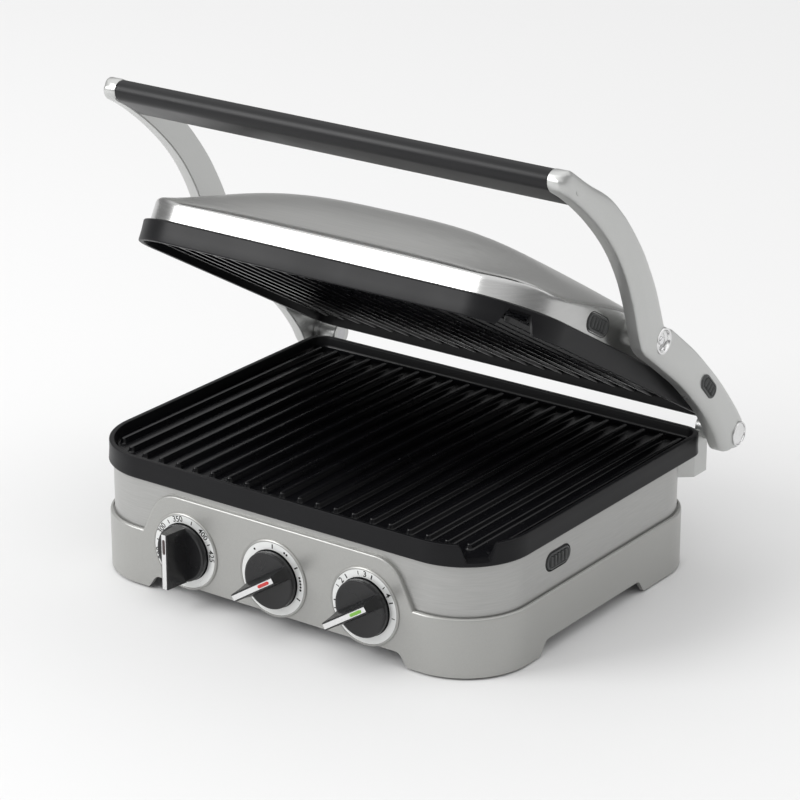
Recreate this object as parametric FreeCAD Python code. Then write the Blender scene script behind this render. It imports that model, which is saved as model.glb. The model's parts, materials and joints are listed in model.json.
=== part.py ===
import FreeCAD, Part
import math
import os

# Countertop panini press, in millimetres. +Z is up, +X is the user's right, and the front faces -Y.
# The origin is on the worktop, under the middle of the bounding box, with the cover raised.
# The base is built in place. The cover is built closed and then turned open about the rear hinge.

# ---------------------------------------------------------------- driving dimensions
PLATE_W, PLATE_D = 310.0, 248.3        # cooking plates
PLATE_H = 14.0
PLATE_R_FRONT, PLATE_R_REAR = 46.0, 14.0
RIM_TOP = 86.5                         # top of the lower plate's rim above the worktop
RIM_WALL = 4.0
PAN_DEPTH = 7.7                        # from the rim down to the cooking surface
PAN_FLOOR = 3.0                        # metal left under the cooking surface
RIB_PITCH, RIB_COUNT = 13.6, 22
RIB_H, RIB_FOOT, RIB_CREST = 3.5, 5.0, 2.6
GUTTER = 12.0                          # flat channel between the ribs and the rim

UPPER_W, UPPER_D, UPPER_R = 304.0, 242.3, 43.0   # base shell under the plate
UPPER_R_REAR = 37.0
LEDGE_Z = 39.5                         # top of the stepped skirt
GROOVE = 1.1                           # shadow groove round the shell in the skirt's top
SKIRT_WALL = (PLATE_W - UPPER_W) / 2   # the skirt grips the shell's lower edge
SHELL_WALL = 2.5
ARCH_Z = 10.0                          # underside of the skirt between the feet
SIDE_ARCH_Y = -6.0                     # middle of the arches in the left and right sides
FOOT_Z = 1.5                           # skirt above the worktop; the pads fill this

DIAL_X = 69.0                          # spacing of the three dials
DIAL_Z = 33.5
DIAL_R = 23.5
KNOB_R, KNOB_SKIRT_H, KNOB_H = 18.4, 4.5, 20.0
KNOB_TURN = {"griddle": 0.0, "selector": 57.0, "grill": 57.0}   # clockwise from the top

HINGE_Y, HINGE_Z = 136.0, 84.0         # rear hinge axis, along X
PIVOT_Y, PIVOT_Z = 7.8, 114.8          # cover pivot axis with the cover closed
OPEN_ANGLE = 29.9                      # the cover is raised this far in the stored position
CLOSED_GAP = 0.5                       # between the two plates' rims with the cover closed
PIN_R = 4.0
RUNNING = 0.05                         # radial clearance of a pin that turns in a bore

ARM_IN, ARM_OUT = 159.5, 171.4         # inner and outer face of the arms
GRIP_NOSE, GRIP_TAIL = (-66.4, 300.1), (-47.3, 287.4)   # the oval handle's round edges, cover raised
GRIP_R = 6.7                           # half its thickness
GRIP_BORE = 4.5
COLLAR_R, COLLAR_DEPTH = 8.3, 3.4      # dished ring at the cover's pivots
BOLT_HEAD_R = 2.6
RELEASE_L, RELEASE_W = 21.0, 10.0      # hinge release on the right arm
RELEASE_TRAVEL = 4.0

EAR_IN, EAR_OUT = 143.5, 156.0         # inner and outer end of the hinge knuckle
KNUCKLE_R = 8.5
EAR_BASE_Z = 53.5
POST_IN, POST_OUT = 137.0, 148.0       # the bracket's post under the knuckle
POST_Y0, POST_Y1 = 125.3, 136.4
EAR_BOLTS_X, EAR_BOLT_Z, EAR_BOLT_R = (121.0, 133.0), 65.5, 2.0

BUTTON_Y, BUTTON_Z = -42.5, 57.5       # plate release on the base's right side
BUTTON_L, BUTTON_H = 25.0, 11.0
BUTTON_DEEP = 6.0
CORD_X, CORD_Z = 95.0, 55.0            # cord inlet in the rear

LID_W, LID_D, LID_R = 302.0, 240.2, 42.0
LID_CREASE = 26.3                      # height of the cover's front edge above its mating face
DOME_H, DOME_CROWN_Y = 33.2, -57.0
SIDE_ARCH_H = 12.5                     # the cover's side edge rises this much over the pivots

FRAME_Y = -1.075                       # moves the middle of the bounding box to y = 0

Y_SKIRT = PLATE_D / 2
GRIP_Y, GRIP_Z = ((nose + tail) / 2 for nose, tail in zip(GRIP_NOSE, GRIP_TAIL))
LID_Z = RIM_TOP + CLOSED_GAP
FLOOR_Z = RIM_TOP - PAN_DEPTH
RIM_BOTTOM = RIM_TOP - PLATE_H
X_AXIS, Y_AXIS, Z_AXIS = (FreeCAD.Vector(*v) for v in ((1, 0, 0), (0, 1, 0), (0, 0, 1)))
HINGE = FreeCAD.Vector(0, HINGE_Y, HINGE_Z)


# ---------------------------------------------------------------- small helpers
def vec(x, y, z):
    return FreeCAD.Vector(x, y, z)


def box(x0, x1, y0, y1, z0, z1):
    return Part.makeBox(x1 - x0, y1 - y0, z1 - z0, vec(x0, y0, z0))


def rod_x(radius, x0, x1, y, z):
    return Part.makeCylinder(radius, x1 - x0, vec(x0, y, z), X_AXIS)


def rod_y(radius, y0, y1, x, z):
    return Part.makeCylinder(radius, y1 - y0, vec(x, y0, z), Y_AXIS)


def rod_z(radius, z0, z1, x, y):
    return Part.makeCylinder(radius, z1 - z0, vec(x, y, z0), Z_AXIS)


def corner_arc(cx, cy, radius, start):
    a, b, c = (math.radians(start + turn) for turn in (0, 45, 90))
    points = [vec(cx + radius * math.cos(t), cy + radius * math.sin(t), 0) for t in (a, b, c)]
    return Part.Arc(*points).toShape()


def rounded_prism(width, depth, radius, z0, z1, rear_radius=None):
    """A rounded rectangle about x = y = 0, raised from z0 to z1."""
    rear = radius if rear_radius is None else rear_radius
    w, d = width / 2, depth / 2
    arcs = [corner_arc(w - radius, radius - d, radius, 270), corner_arc(w - rear, d - rear, rear, 0),
            corner_arc(rear - w, d - rear, rear, 90), corner_arc(radius - w, radius - d, radius, 180)]
    edges = []
    for arc, following in zip(arcs, arcs[1:] + arcs[:1]):
        edges.append(arc)
        start, end = arc.valueAt(arc.LastParameter), following.valueAt(following.FirstParameter)
        edges.append(Part.LineSegment(start, end).toShape())
    face = Part.Face(Part.Wire(edges))
    face.translate(vec(0, 0, z0))
    return face.extrude(vec(0, 0, z1 - z0))


def frame_prism(width, depth, radius, wall, z0, z1, rear_radius=None):
    """A rounded rectangle with a wall and no top or bottom."""
    inner_rear = None if rear_radius is None else max(rear_radius - wall, 1.0)
    outer = rounded_prism(width, depth, radius, z0, z1, rear_radius)
    inner = rounded_prism(width - 2 * wall, depth - 2 * wall, radius - wall, z0 - 1, z1 + 1, inner_rear)
    return outer.cut(inner)


def slot_wire(x, y0, y1, width, z):
    r = width / 2
    low, high = y0 + r, y1 - r
    edges = [Part.Arc(vec(x - r, low, z), vec(x, y0, z), vec(x + r, low, z)).toShape(),
             Part.LineSegment(vec(x + r, low, z), vec(x + r, high, z)).toShape(),
             Part.Arc(vec(x + r, high, z), vec(x, y1, z), vec(x - r, high, z)).toShape(),
             Part.LineSegment(vec(x - r, high, z), vec(x - r, low, z)).toShape()]
    return Part.Wire(edges)


def rounded_outline_x(points, x0, x1):
    """A plate along X whose side outline joins (y, z) pieces: a list is a smooth curve, two points a line."""
    edges = []
    for piece in points:
        corners = [vec(x0, y, z) for y, z in piece]
        if len(corners) == 2:
            edges.append(Part.LineSegment(*corners).toShape())
        else:
            curve = Part.BSplineCurve()
            curve.interpolate(corners)
            edges.append(curve.toShape())
    return Part.Face(Part.Wire(edges)).extrude(vec(x1 - x0, 0, 0))


def outer_edges(shape, x, margin=0.01):
    return [e for e in shape.Edges if all(abs(v.X - x) < margin for v in e.Vertexes)]


def eased(shape, edges, radius):
    """The shape with those edges rounded, or as it was if the rounding is not valid."""
    try:
        result = shape.makeFillet(radius, edges)
    except Part.OCCError:
        return shape
    return result if result.isValid() and result.Volume > 0 else shape


def mirrored(shape):
    return shape.mirror(vec(0, 0, 0), X_AXIS)


def both_sides(shape):
    return [shape, mirrored(shape)]


def opened(shape):
    """A piece of the closed cover, turned to the raised position."""
    turned = shape.copy()
    turned.rotate(HINGE, X_AXIS, -OPEN_ANGLE)
    return turned


def joined(shapes):
    return shapes[0].fuse(shapes[1:]).removeSplitter() if len(shapes) > 1 else shapes[0]


def export(node, shape):
    solids = shape if isinstance(shape, list) else shape.Solids
    whole = Part.makeCompound(solids) if len(solids) > 1 else solids[0]
    whole = whole.copy()
    whole.translate(vec(0, FRAME_Y, 0))
    if not whole.isValid():
        print("not valid:", node)
    whole.exportStep(f"parts/{node}.step")
    box_ = whole.BoundBox
    print(f"{node:24s} {len(solids)} solid  x {box_.XMin:7.1f} {box_.XMax:7.1f}  "
          f"y {box_.YMin:7.1f} {box_.YMax:7.1f}  z {box_.ZMin:6.1f} {box_.ZMax:6.1f}")


# ---------------------------------------------------------------- cooking plates
def rib(x):
    """One tapered rib with round ends. The ribs by the corners start further back."""
    reach = max(0.0, abs(x) - (PLATE_W / 2 - PLATE_R_FRONT)) / (PLATE_R_FRONT - RIM_WALL)
    setback = 0.62 * PLATE_R_FRONT * (1 - math.sqrt(max(0.0, 1 - reach ** 2)))
    front = -(PLATE_D / 2 - RIM_WALL - GUTTER) + setback
    back = PLATE_D / 2 - RIM_WALL - 7.0
    taper = (RIB_FOOT - RIB_CREST) / 2
    foot = slot_wire(x, front, back, RIB_FOOT, FLOOR_Z - 0.2)
    crest = slot_wire(x, front + taper, back - taper, RIB_CREST, FLOOR_Z + RIB_H)
    return Part.makeLoft([foot, crest], True, True)


def spout_cut():
    """A sloped pouring notch through the rim at the front right corner."""
    top, floor = 24.0, 14.0
    reach = PLATE_R_FRONT
    z = RIM_TOP - 10.5
    high = RIM_TOP + 1
    section = [vec(-floor / 2, 0, z), vec(floor / 2, 0, z), vec(top / 2, 0, high), vec(-top / 2, 0, high)]
    cut = Part.Face(Part.makePolygon(section + section[:1])).extrude(vec(0, 20, 0))
    cut.translate(vec(0, -(reach + 6), 0))
    cut.rotate(vec(0, 0, 0), Z_AXIS, 45)
    cut.translate(vec(PLATE_W / 2 - PLATE_R_FRONT, PLATE_R_FRONT - PLATE_D / 2, 0))
    return cut


def cooking_plate():
    slab = rounded_prism(PLATE_W, PLATE_D, PLATE_R_FRONT, RIM_BOTTOM, RIM_TOP, PLATE_R_REAR)
    inset = 2 * RIM_WALL
    pan = rounded_prism(PLATE_W - inset, PLATE_D - inset, PLATE_R_FRONT - RIM_WALL, FLOOR_Z, RIM_TOP + 1,
                        PLATE_R_REAR - RIM_WALL)
    under = rounded_prism(PLATE_W - 24, PLATE_D - 24, PLATE_R_FRONT - 12,
                          RIM_BOTTOM - 1, FLOOR_Z - PAN_FLOOR, 4.0)
    ribs = [rib((k + 0.5) * RIB_PITCH) for k in range(-RIB_COUNT // 2, RIB_COUNT // 2)]
    plate = slab.cut(pan).cut(under).fuse(ribs)
    return plate.cut(spout_cut()).removeSplitter()


def mirrored_above(shape):
    """The lower plate turned over, to face it across the closed gap."""
    return shape.mirror(vec(0, 0, RIM_TOP + CLOSED_GAP / 2), Z_AXIS)


# ---------------------------------------------------------------- base shells
PANEL_Z, PANEL_R = 68.0, 21.5          # top of the dial panel and the radius of its shoulders
PANEL_FOOT, PANEL_SHOULDER = 104.5, 89.25


def control_panel():
    """The raised front of the skirt that carries the dials."""
    front, low = -Y_SKIRT, LEDGE_Z - 2
    outline = [vec(-PANEL_FOOT, front, low), vec(PANEL_FOOT, front, low),
               vec(PANEL_SHOULDER, front, PANEL_Z), vec(-PANEL_SHOULDER, front, PANEL_Z)]
    panel = Part.Face(Part.makePolygon(outline + outline[:1])).extrude(vec(0, SKIRT_WALL, 0))
    shoulders = [e for e in panel.Edges if e.BoundBox.ZMin > PANEL_Z - 0.01 and e.BoundBox.XLength < 0.01]
    panel = eased(panel, shoulders, PANEL_R)
    rim = [e for e in panel.Edges if e.BoundBox.YMax < front + 0.01 and e.BoundBox.ZMax > low + 1]
    return eased(panel, rim, 1.2)


def foot_arch(half_width, centre, along_x):
    """The gap under the skirt between two feet. Its ends are S-shaped."""
    spread, length = 12.0, 400.0
    low, high = FOOT_Z - 1, ARCH_Z
    foot, top = half_width + spread, half_width
    middle = top + spread / 2
    right = Part.BezierCurve()
    right.setPoles([vec(foot, 0, low), vec(middle, 0, low), vec(middle, 0, high), vec(top, 0, high)])
    left = Part.BezierCurve()
    left.setPoles([vec(-top, 0, high), vec(-middle, 0, high), vec(-middle, 0, low), vec(-foot, 0, low)])
    bottom = Part.LineSegment(vec(-foot, 0, low), vec(foot, 0, low))
    crown = Part.LineSegment(vec(top, 0, high), vec(-top, 0, high))
    edges = [curve.toShape() for curve in (bottom, right, crown, left)]
    arch = Part.Face(Part.Wire(edges)).extrude(vec(0, length, 0))
    arch.translate(vec(0, -length / 2, 0))
    if not along_x:
        arch.rotate(vec(0, 0, 0), Z_AXIS, 90)
        arch.translate(vec(0, centre, 0))
    return arch


def dial_holes(radius):
    return [rod_y(radius, -Y_SKIRT - 5, -Y_SKIRT + 12, x, DIAL_Z) for x in (-DIAL_X, 0, DIAL_X)]


def stadium_x(length, height, x0, x1, y, z, grow=0.0):
    """An oval button shape along X, long in Y."""
    r = height / 2 + grow
    half = length / 2 - height / 2
    body = box(x0, x1, y - half, y + half, z - r, z + r)
    return body.fuse([rod_x(r, x0, x1, y - half, z), rod_x(r, x0, x1, y + half, z)]).removeSplitter()


def base_skirt():
    outer = rounded_prism(PLATE_W, PLATE_D, PLATE_R_FRONT, FOOT_Z, LEDGE_Z, UPPER_R_REAR + SKIRT_WALL)
    outer = eased(outer, [e for e in outer.Edges if all(abs(v.Z - LEDGE_Z) < 0.01 for v in e.Vertexes)], 1.6)
    inner_w, inner_d = PLATE_W - 2 * SKIRT_WALL, PLATE_D - 2 * SKIRT_WALL
    inner_r = PLATE_R_FRONT - SKIRT_WALL
    hollow = rounded_prism(inner_w, inner_d, inner_r, FOOT_Z - 1, LEDGE_Z + 1, UPPER_R_REAR)
    groove = frame_prism(inner_w + 2 * GROOVE, inner_d + 2 * GROOVE, inner_r + GROOVE, 2 * GROOVE,
                         LEDGE_Z - GROOVE, LEDGE_Z + 1, UPPER_R_REAR + GROOVE)
    skirt = outer.cut([hollow, groove]).fuse(control_panel())
    skirt = skirt.cut([foot_arch(91.0, 0, True), foot_arch(49.5, SIDE_ARCH_Y, False)] + dial_holes(8.0))
    corner = rounded_prism(inner_w + 1, inner_d + 1, inner_r, FOOT_Z, FOOT_Z + 2.5, UPPER_R_REAR)
    for sx in (-1, 1):
        for sy in (-1, 1):
            x, y = sx * (inner_w / 2 - 22), sy * (inner_d / 2 - 22)
            floor = corner.common(box(x - 23, x + 23, y - 23, y + 23, FOOT_Z - 1, FOOT_Z + 4))
            skirt = skirt.fuse(floor.cut(rod_z(4.0, 0, 10, x, y)))
    return skirt.removeSplitter()


def foot_pads():
    pads = []
    inner_w, inner_d = PLATE_W - 2 * SKIRT_WALL, PLATE_D - 2 * SKIRT_WALL
    for sx in (-1, 1):
        for sy in (-1, 1):
            x, y = sx * (inner_w / 2 - 22), sy * (inner_d / 2 - 22)
            stem = rod_z(4.0, FOOT_Z, FOOT_Z + 2.5, x, y).fuse(rod_z(6.0, FOOT_Z + 2.5, FOOT_Z + 5, x, y))
            pads.append(rod_z(12.0, 0, FOOT_Z, x, y).fuse(stem).removeSplitter())
    return pads


DECK_W, DECK_D, DECK_R = 262.0, 202.0, 22.0     # opening over each heating element


def base_upper_shell():
    foot_z, top_z = LEDGE_Z - 8, RIM_BOTTOM - 0.3
    shell = rounded_prism(UPPER_W, UPPER_D, UPPER_R, foot_z, top_z, UPPER_R_REAR)
    cavity = rounded_prism(UPPER_W - 2 * SHELL_WALL, UPPER_D - 2 * SHELL_WALL, UPPER_R - SHELL_WALL,
                           foot_z - 1, top_z - SHELL_WALL, UPPER_R_REAR - SHELL_WALL)
    deck_hole = rounded_prism(DECK_W, DECK_D, DECK_R, top_z - 5, top_z + 1)
    shell = shell.cut([cavity, deck_hole])
    window = stadium_x(BUTTON_L, BUTTON_H, UPPER_W / 2 - 6, UPPER_W / 2 + 2, BUTTON_Y, BUTTON_Z, 0.4)
    gland_hole = rod_y(9.0, UPPER_D / 2 - 6, UPPER_D / 2 + 2, CORD_X, CORD_Z)
    shaft_holes = [rod_y(9.0, -UPPER_D / 2 - 2, -UPPER_D / 2 + 6, x, DIAL_Z) for x in (-DIAL_X, 0, DIAL_X)]
    tail_slots = heater_slots(top_z - 6, top_z + 1)
    bolt_holes = [rod_y(EAR_BOLT_R, 100, 125, side * x, EAR_BOLT_Z) for side in (-1, 1) for x in EAR_BOLTS_X]
    return shell.cut([window, gland_hole] + shaft_holes + bolt_holes + tail_slots)


def cord_gland():
    """The round bush in the rear wall where the mains lead would leave."""
    wall_y = UPPER_D / 2
    flange = rod_y(11.5, wall_y, wall_y + 2.5, CORD_X, CORD_Z)
    neck = rod_y(9.0, wall_y - SHELL_WALL, wall_y, CORD_X, CORD_Z)
    nut = rod_y(11.5, wall_y - SHELL_WALL - 5, wall_y - SHELL_WALL, CORD_X, CORD_Z)
    return flange.fuse([neck, nut]).cut(rod_y(3.6, wall_y - 20, wall_y + 20, CORD_X, CORD_Z)).removeSplitter()


def bottom_cover():
    w, d = PLATE_W - 2 * SKIRT_WALL - 0.6, PLATE_D - 2 * SKIRT_WALL - 0.6
    cover = rounded_prism(w, d, UPPER_R - 0.3, ARCH_Z, ARCH_Z + 1.6, UPPER_R_REAR - 0.3)
    slots = []
    for row in (-60, 0, 60):
        for k in range(-5, 6):
            slots.append(box(k * 12 - 2.5, k * 12 + 2.5, row - 14, row + 14, ARCH_Z - 1, ARCH_Z + 3))
    holes = [rod_z(2.0, ARCH_Z - 1, ARCH_Z + 3, x, y) for x, y in cover_screw_places()]
    return cover.cut(slots + holes)


def cover_screw_places():
    return [(sx * 142, y) for sx in (-1, 1) for y in (-75, 60)]


def cover_screws():
    """Screws that hold the bottom cover up to the posts."""
    screws = []
    for x, y in cover_screw_places():
        head = rod_z(3.8, ARCH_Z - 2.0, ARCH_Z, x, y).cut(rod_z(1.5, ARCH_Z - 3, ARCH_Z - 0.8, x, y))
        screws.append(head.fuse(rod_z(2.0, ARCH_Z, ARCH_Z + 12, x, y)).removeSplitter())
    return screws


def cover_posts():
    """Four spacer posts between the bottom cover and the deck."""
    top = RIM_BOTTOM - 0.3 - SHELL_WALL
    return [rod_z(5.0, ARCH_Z + 1.6, top, x, y).cut(rod_z(2.0, ARCH_Z, ARCH_Z + 13, x, y))
            for x, y in cover_screw_places()]


# ---------------------------------------------------------------- heating
HEATER_R = 3.3
HEATER_TAILS = (-14.0, 14.0)


def bent_tube(points, radius, bend):
    """A tube through straight runs joined by arcs of one bend radius, in a level plane."""
    corners = [vec(*p) for p in points]
    edges, start = [], corners[0]
    for before, corner, after in zip(corners, corners[1:], corners[2:]):
        into, away = (before - corner).normalize(), (after - corner).normalize()
        half = into.getAngle(away) / 2
        run = bend / math.tan(half)
        a, b = corner + into * run, corner + away * run
        bisector = (into + away).normalize()
        middle = corner + bisector * (bend / math.sin(half) - bend)
        edges.append(Part.LineSegment(start, a).toShape())
        edges.append(Part.Arc(a, middle, b).toShape())
        start = b
    edges.append(Part.LineSegment(start, corners[-1]).toShape())
    path = Part.Wire(edges)
    direction = (corners[1] - corners[0]).normalize()
    ring = Part.Wire([Part.makeCircle(radius, corners[0], direction)])
    return path.makePipeShell([ring], True, False)


def heater(z):
    """A tubular element: one loop with two inner legs whose cold ends pass out at the rear."""
    wide, narrow, front, back, fold = 112.0, 42.0, -84.0, 78.0, -38.0
    tail = HEATER_TAILS[1]
    end = DECK_D / 2 + 1
    right = [(wide, front, z), (wide, back, z), (narrow, back, z),
             (narrow, fold, z), (tail, fold, z), (tail, end, z)]
    left = [(-x, y, height) for x, y, height in reversed(right)]
    tube = bent_tube(left + right, HEATER_R, 11.0)
    tabs = [box(x - 3.0, x + 3.0, end, end + 5, z - 0.4, z + 0.4) for x in HEATER_TAILS]
    return tube.fuse(tabs)


def reflector(seat, back):
    """A shallow sheet dish behind an element. Its flange lies on the seat and its bottom is at back."""
    sheet, step = 0.8, math.copysign(0.8, back - seat)
    w, d = DECK_W - 4, DECK_D - 4
    low, high = min(seat, back), max(seat, back)
    dish = rounded_prism(w, d, DECK_R - 2, low, high)
    flange = rounded_prism(w + 10, d + 10, DECK_R + 3, min(seat, seat + step), max(seat, seat + step))
    hollow_low, hollow_high = (low + sheet, high + 1) if back < seat else (low - 1, high - sheet)
    hollow = rounded_prism(w - 2 * sheet, d - 2 * sheet, DECK_R - 2 - sheet, hollow_low, hollow_high)
    tail_gaps = [box(x - 5, x + 5, d / 2 - 2, d / 2 + 6, low - 1, high + 1) for x in HEATER_TAILS]
    return dish.fuse(flange).cut([hollow] + tail_gaps)


def heater_slots(z0, z1):
    """Room for an element's two cold ends, at the rear of the opening over it."""
    return [box(x - 5, x + 5, DECK_D / 2 - 3, DECK_D / 2 + 8, z0, z1) for x in HEATER_TAILS]


def heater_clips(z, away):
    """Sheet saddles that hold the element off its reflector."""
    clips = []
    for x, y in ((-112, 0), (112, 0), (-60, -84), (60, -84)):
        z0, z1 = sorted((z - away * HEATER_R, z - away * DISH_DEPTH))
        inside = box(x - 4, x + 4, y - 6, y + 6, z0 + 0.8, z1 - 0.8)
        clips.append(box(x - 5, x + 5, y - 5, y + 5, z0, z1).cut(inside))
    return clips


DISH_DEPTH = 7.4                       # from an element's middle to its reflector's inside face
PLATE_GAP = 0.3                        # between a cooking plate and the deck it lies on
DECK_Z = RIM_BOTTOM - PLATE_GAP - SHELL_WALL     # underside of the base's deck
LOWER_HEATER_Z = RIM_BOTTOM - HEATER_R - 0.6
LOWER_DISH_Z = LOWER_HEATER_Z - DISH_DEPTH - 0.8


# ---------------------------------------------------------------- dials and controls
def dial_ring(x):
    """The raised ring round a dial that carries its scale."""
    front = -Y_SKIRT - 1.2
    ring = rod_y(DIAL_R, front, -Y_SKIRT, x, DIAL_Z)
    ring = ring.cut(rod_y(8.0, front - 1, -Y_SKIRT + 1, x, DIAL_Z))
    rim = [e for e in ring.Edges if abs(e.CenterOfMass.y - front) < 0.01 and e.Length > 100]
    return eased(ring, rim, 0.6)


def turned_dial(shape, kind, x):
    turned = shape.copy()
    turned.rotate(vec(x, 0, DIAL_Z), Y_AXIS, KNOB_TURN[kind])
    return turned


BLADE_HALF, BLADE_TOP, BLADE_FOOT = 18.2, 4.6, 9.0
FACE_Y = -Y_SKIRT - 1.2                # front face of the dial rings
KNOB_TOP_Y = FACE_Y - KNOB_H


def blade_section(half_top, half_foot, y_top, y_foot, z):
    points = [vec(-half_foot, y_foot, z), vec(-half_top, y_top, z),
              vec(half_top, y_top, z), vec(half_foot, y_foot, z)]
    return Part.makePolygon(points + points[:1])


def knob(kind, x):
    """A round skirt with a straight finger blade across it, open at the blade's top for the inlay."""
    skirt = rod_y(KNOB_R, FACE_Y - KNOB_SKIRT_H, FACE_Y - 0.5, 0, 0)
    face_y = FACE_Y - KNOB_SKIRT_H
    skirt = eased(skirt, [e for e in skirt.Edges if abs(e.CenterOfMass.y - face_y) < 0.01], 1.0)
    section = blade_section(BLADE_TOP / 2, BLADE_FOOT / 2, KNOB_TOP_Y, face_y + 0.5, -BLADE_HALF)
    face = Part.Face(section)
    blade = face.extrude(vec(0, 0, 2 * BLADE_HALF)).common(rod_y(BLADE_HALF, KNOB_TOP_Y - 1, FACE_Y, 0, 0))
    body = skirt.fuse(blade).cut(inlay_blank(0.0)).removeSplitter()
    socket = rod_y(3.0, FACE_Y - 12, FACE_Y + 1, 0, 0)
    body = body.cut(socket)
    body.translate(vec(x, 0, DIAL_Z))
    return turned_dial(body, kind, x)


def inlay_blank(margin):
    blank = box(-1.7, 1.7, KNOB_TOP_Y, KNOB_TOP_Y + 1.5, -BLADE_HALF - 1, BLADE_HALF + 1)
    return blank.common(rod_y(BLADE_HALF, KNOB_TOP_Y - 1, FACE_Y, 0, 0))


def lens_blank():
    return box(-1.0, 1.0, KNOB_TOP_Y, KNOB_TOP_Y + 1.5, 5.0, 15.0)


def knob_inlay(kind, x):
    inlay = inlay_blank(0.0).cut(lens_blank())
    inlay.translate(vec(x, 0, DIAL_Z))
    return turned_dial(inlay, kind, x)


def knob_lens(kind, x):
    lens = lens_blank()
    lens.translate(vec(x, 0, DIAL_Z))
    return turned_dial(lens, kind, x)


SHAFT_R = 3.0
SWITCH_FRONT = -UPPER_D / 2 + SHELL_WALL + 6.0


def control_shaft(x):
    """The spindle that the knob is pushed on, flat on one side inside the knob."""
    back = SWITCH_FRONT + 10
    shaft = rod_y(SHAFT_R, FACE_Y - 12, back, 0, 0)
    shaft.translate(vec(x, 0, DIAL_Z))
    return shaft


def thermostat(x):
    """A bulb thermostat: metal body, threaded bush and two terminals."""
    front = SWITCH_FRONT
    body = box(x - 15, x + 15, front, front + 24, DIAL_Z - 13, DIAL_Z + 13)
    bush = rod_y(6.5, -Y_SKIRT + SKIRT_WALL, front, x, DIAL_Z)
    tabs = [box(x + dx - 3, x + dx + 3, front + 24, front + 32, DIAL_Z - 0.4, DIAL_Z + 0.4) for dx in (-8, 8)]
    whole = body.fuse([bush] + tabs)
    return whole.cut(rod_y(SHAFT_R + RUNNING, -Y_SKIRT - 5, front + 10.5, x, DIAL_Z)).removeSplitter()


def selector_switch(x):
    """A rotary switch: stacked wafers behind the bush."""
    front = SWITCH_FRONT
    body = box(x - 13, x + 13, front, front + 12, DIAL_Z - 13, DIAL_Z + 13)
    bush = rod_y(6.5, -Y_SKIRT + SKIRT_WALL, front, x, DIAL_Z)
    wafers = [rod_y(12.0, front + 12 + 5 * k, front + 15 + 5 * k, x, DIAL_Z) for k in range(3)]
    spine = rod_y(4.0, front + 12, front + 30, x, DIAL_Z)
    whole = body.fuse([bush, spine] + wafers)
    return whole.cut(rod_y(SHAFT_R + RUNNING, -Y_SKIRT - 5, front + 10.5, x, DIAL_Z)).removeSplitter()


def terminal_block():
    block = box(60, 100, 70, 86, ARCH_Z + 1.6, ARCH_Z + 14)
    ways = [rod_z(2.5, ARCH_Z + 8, ARCH_Z + 16, 65 + 10 * k, 78) for k in range(4)]
    return block.cut(ways)


def thermal_fuse():
    """A one-shot fuse clipped to the underside of the lower reflector."""
    z = LOWER_DISH_Z - 5.0
    fuse = rod_x(3.0, -20, 4, 40, z)
    leads = rod_x(0.6, -34, 18, 40, z)
    saddle = box(-14, -2, 36, 44, z + 2.0, LOWER_DISH_Z)
    return fuse.fuse([leads, saddle]).removeSplitter()


# ---------------------------------------------------------------- rear hinge
def hinge_ear():
    """The right-hand bracket: bolted behind the shell's corner, out under the plate and up to the knuckle."""
    plan = [(110, 112), (136.5, 112), (POST_OUT, 121.5), (POST_OUT, POST_Y1),
            (POST_IN, POST_Y1), (POST_IN, 127), (110, 127)]
    corners = [vec(x, y, EAR_BASE_Z) for x, y in plan]
    foot = Part.Face(Part.makePolygon(corners + corners[:1]))
    foot = foot.extrude(vec(0, 0, RIM_BOTTOM - 0.3 - EAR_BASE_Z))
    foot = foot.cut(rounded_prism(UPPER_W, UPPER_D, UPPER_R, 50, 80, UPPER_R_REAR))
    post = box(EAR_IN, POST_OUT, POST_Y0, POST_Y1, EAR_BASE_Z, HINGE_Z)
    knuckle = rod_x(KNUCKLE_R, EAR_IN, EAR_OUT, HINGE_Y, HINGE_Z)
    ear = joined([foot, post, knuckle])
    ear = eased(ear, [e for e in ear.Edges if abs(e.CenterOfMass.x - EAR_IN) < 0.01 and e.Length > 20], 1.0)
    ear = ear.cut(rod_x(PIN_R, EAR_IN - 1, EAR_OUT + 1, HINGE_Y, HINGE_Z))
    return ear.cut([rod_y(EAR_BOLT_R, 90, 124, x, EAR_BOLT_Z) for x in EAR_BOLTS_X])


def ear_bolts():
    """Bolts from inside the shell into each bracket."""
    bolts = []
    for x in EAR_BOLTS_X:
        shank = rod_y(EAR_BOLT_R, 107, 124, x, EAR_BOLT_Z)
        bolts += both_sides(shank.fuse(rod_y(3.0, 104.5, 107, x, EAR_BOLT_Z)).removeSplitter())
    return bolts


def hinge_pin():
    return rod_x(PIN_R, EAR_IN, ARM_OUT - 2.5, HINGE_Y, HINGE_Z)


def hinge_washer():
    ring = rod_x(11.5, EAR_OUT, ARM_IN - 0.4, HINGE_Y, HINGE_Z)
    return ring.cut(rod_x(PIN_R, EAR_OUT - 1, ARM_IN, HINGE_Y, HINGE_Z))


# ---------------------------------------------------------------- arms and handle
def pivot_point():
    turn = math.radians(-OPEN_ANGLE)
    dy, dz = PIVOT_Y - HINGE_Y, PIVOT_Z - HINGE_Z
    return (HINGE_Y + dy * math.cos(turn) - dz * math.sin(turn),
            HINGE_Z + dy * math.sin(turn) + dz * math.cos(turn))


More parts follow.
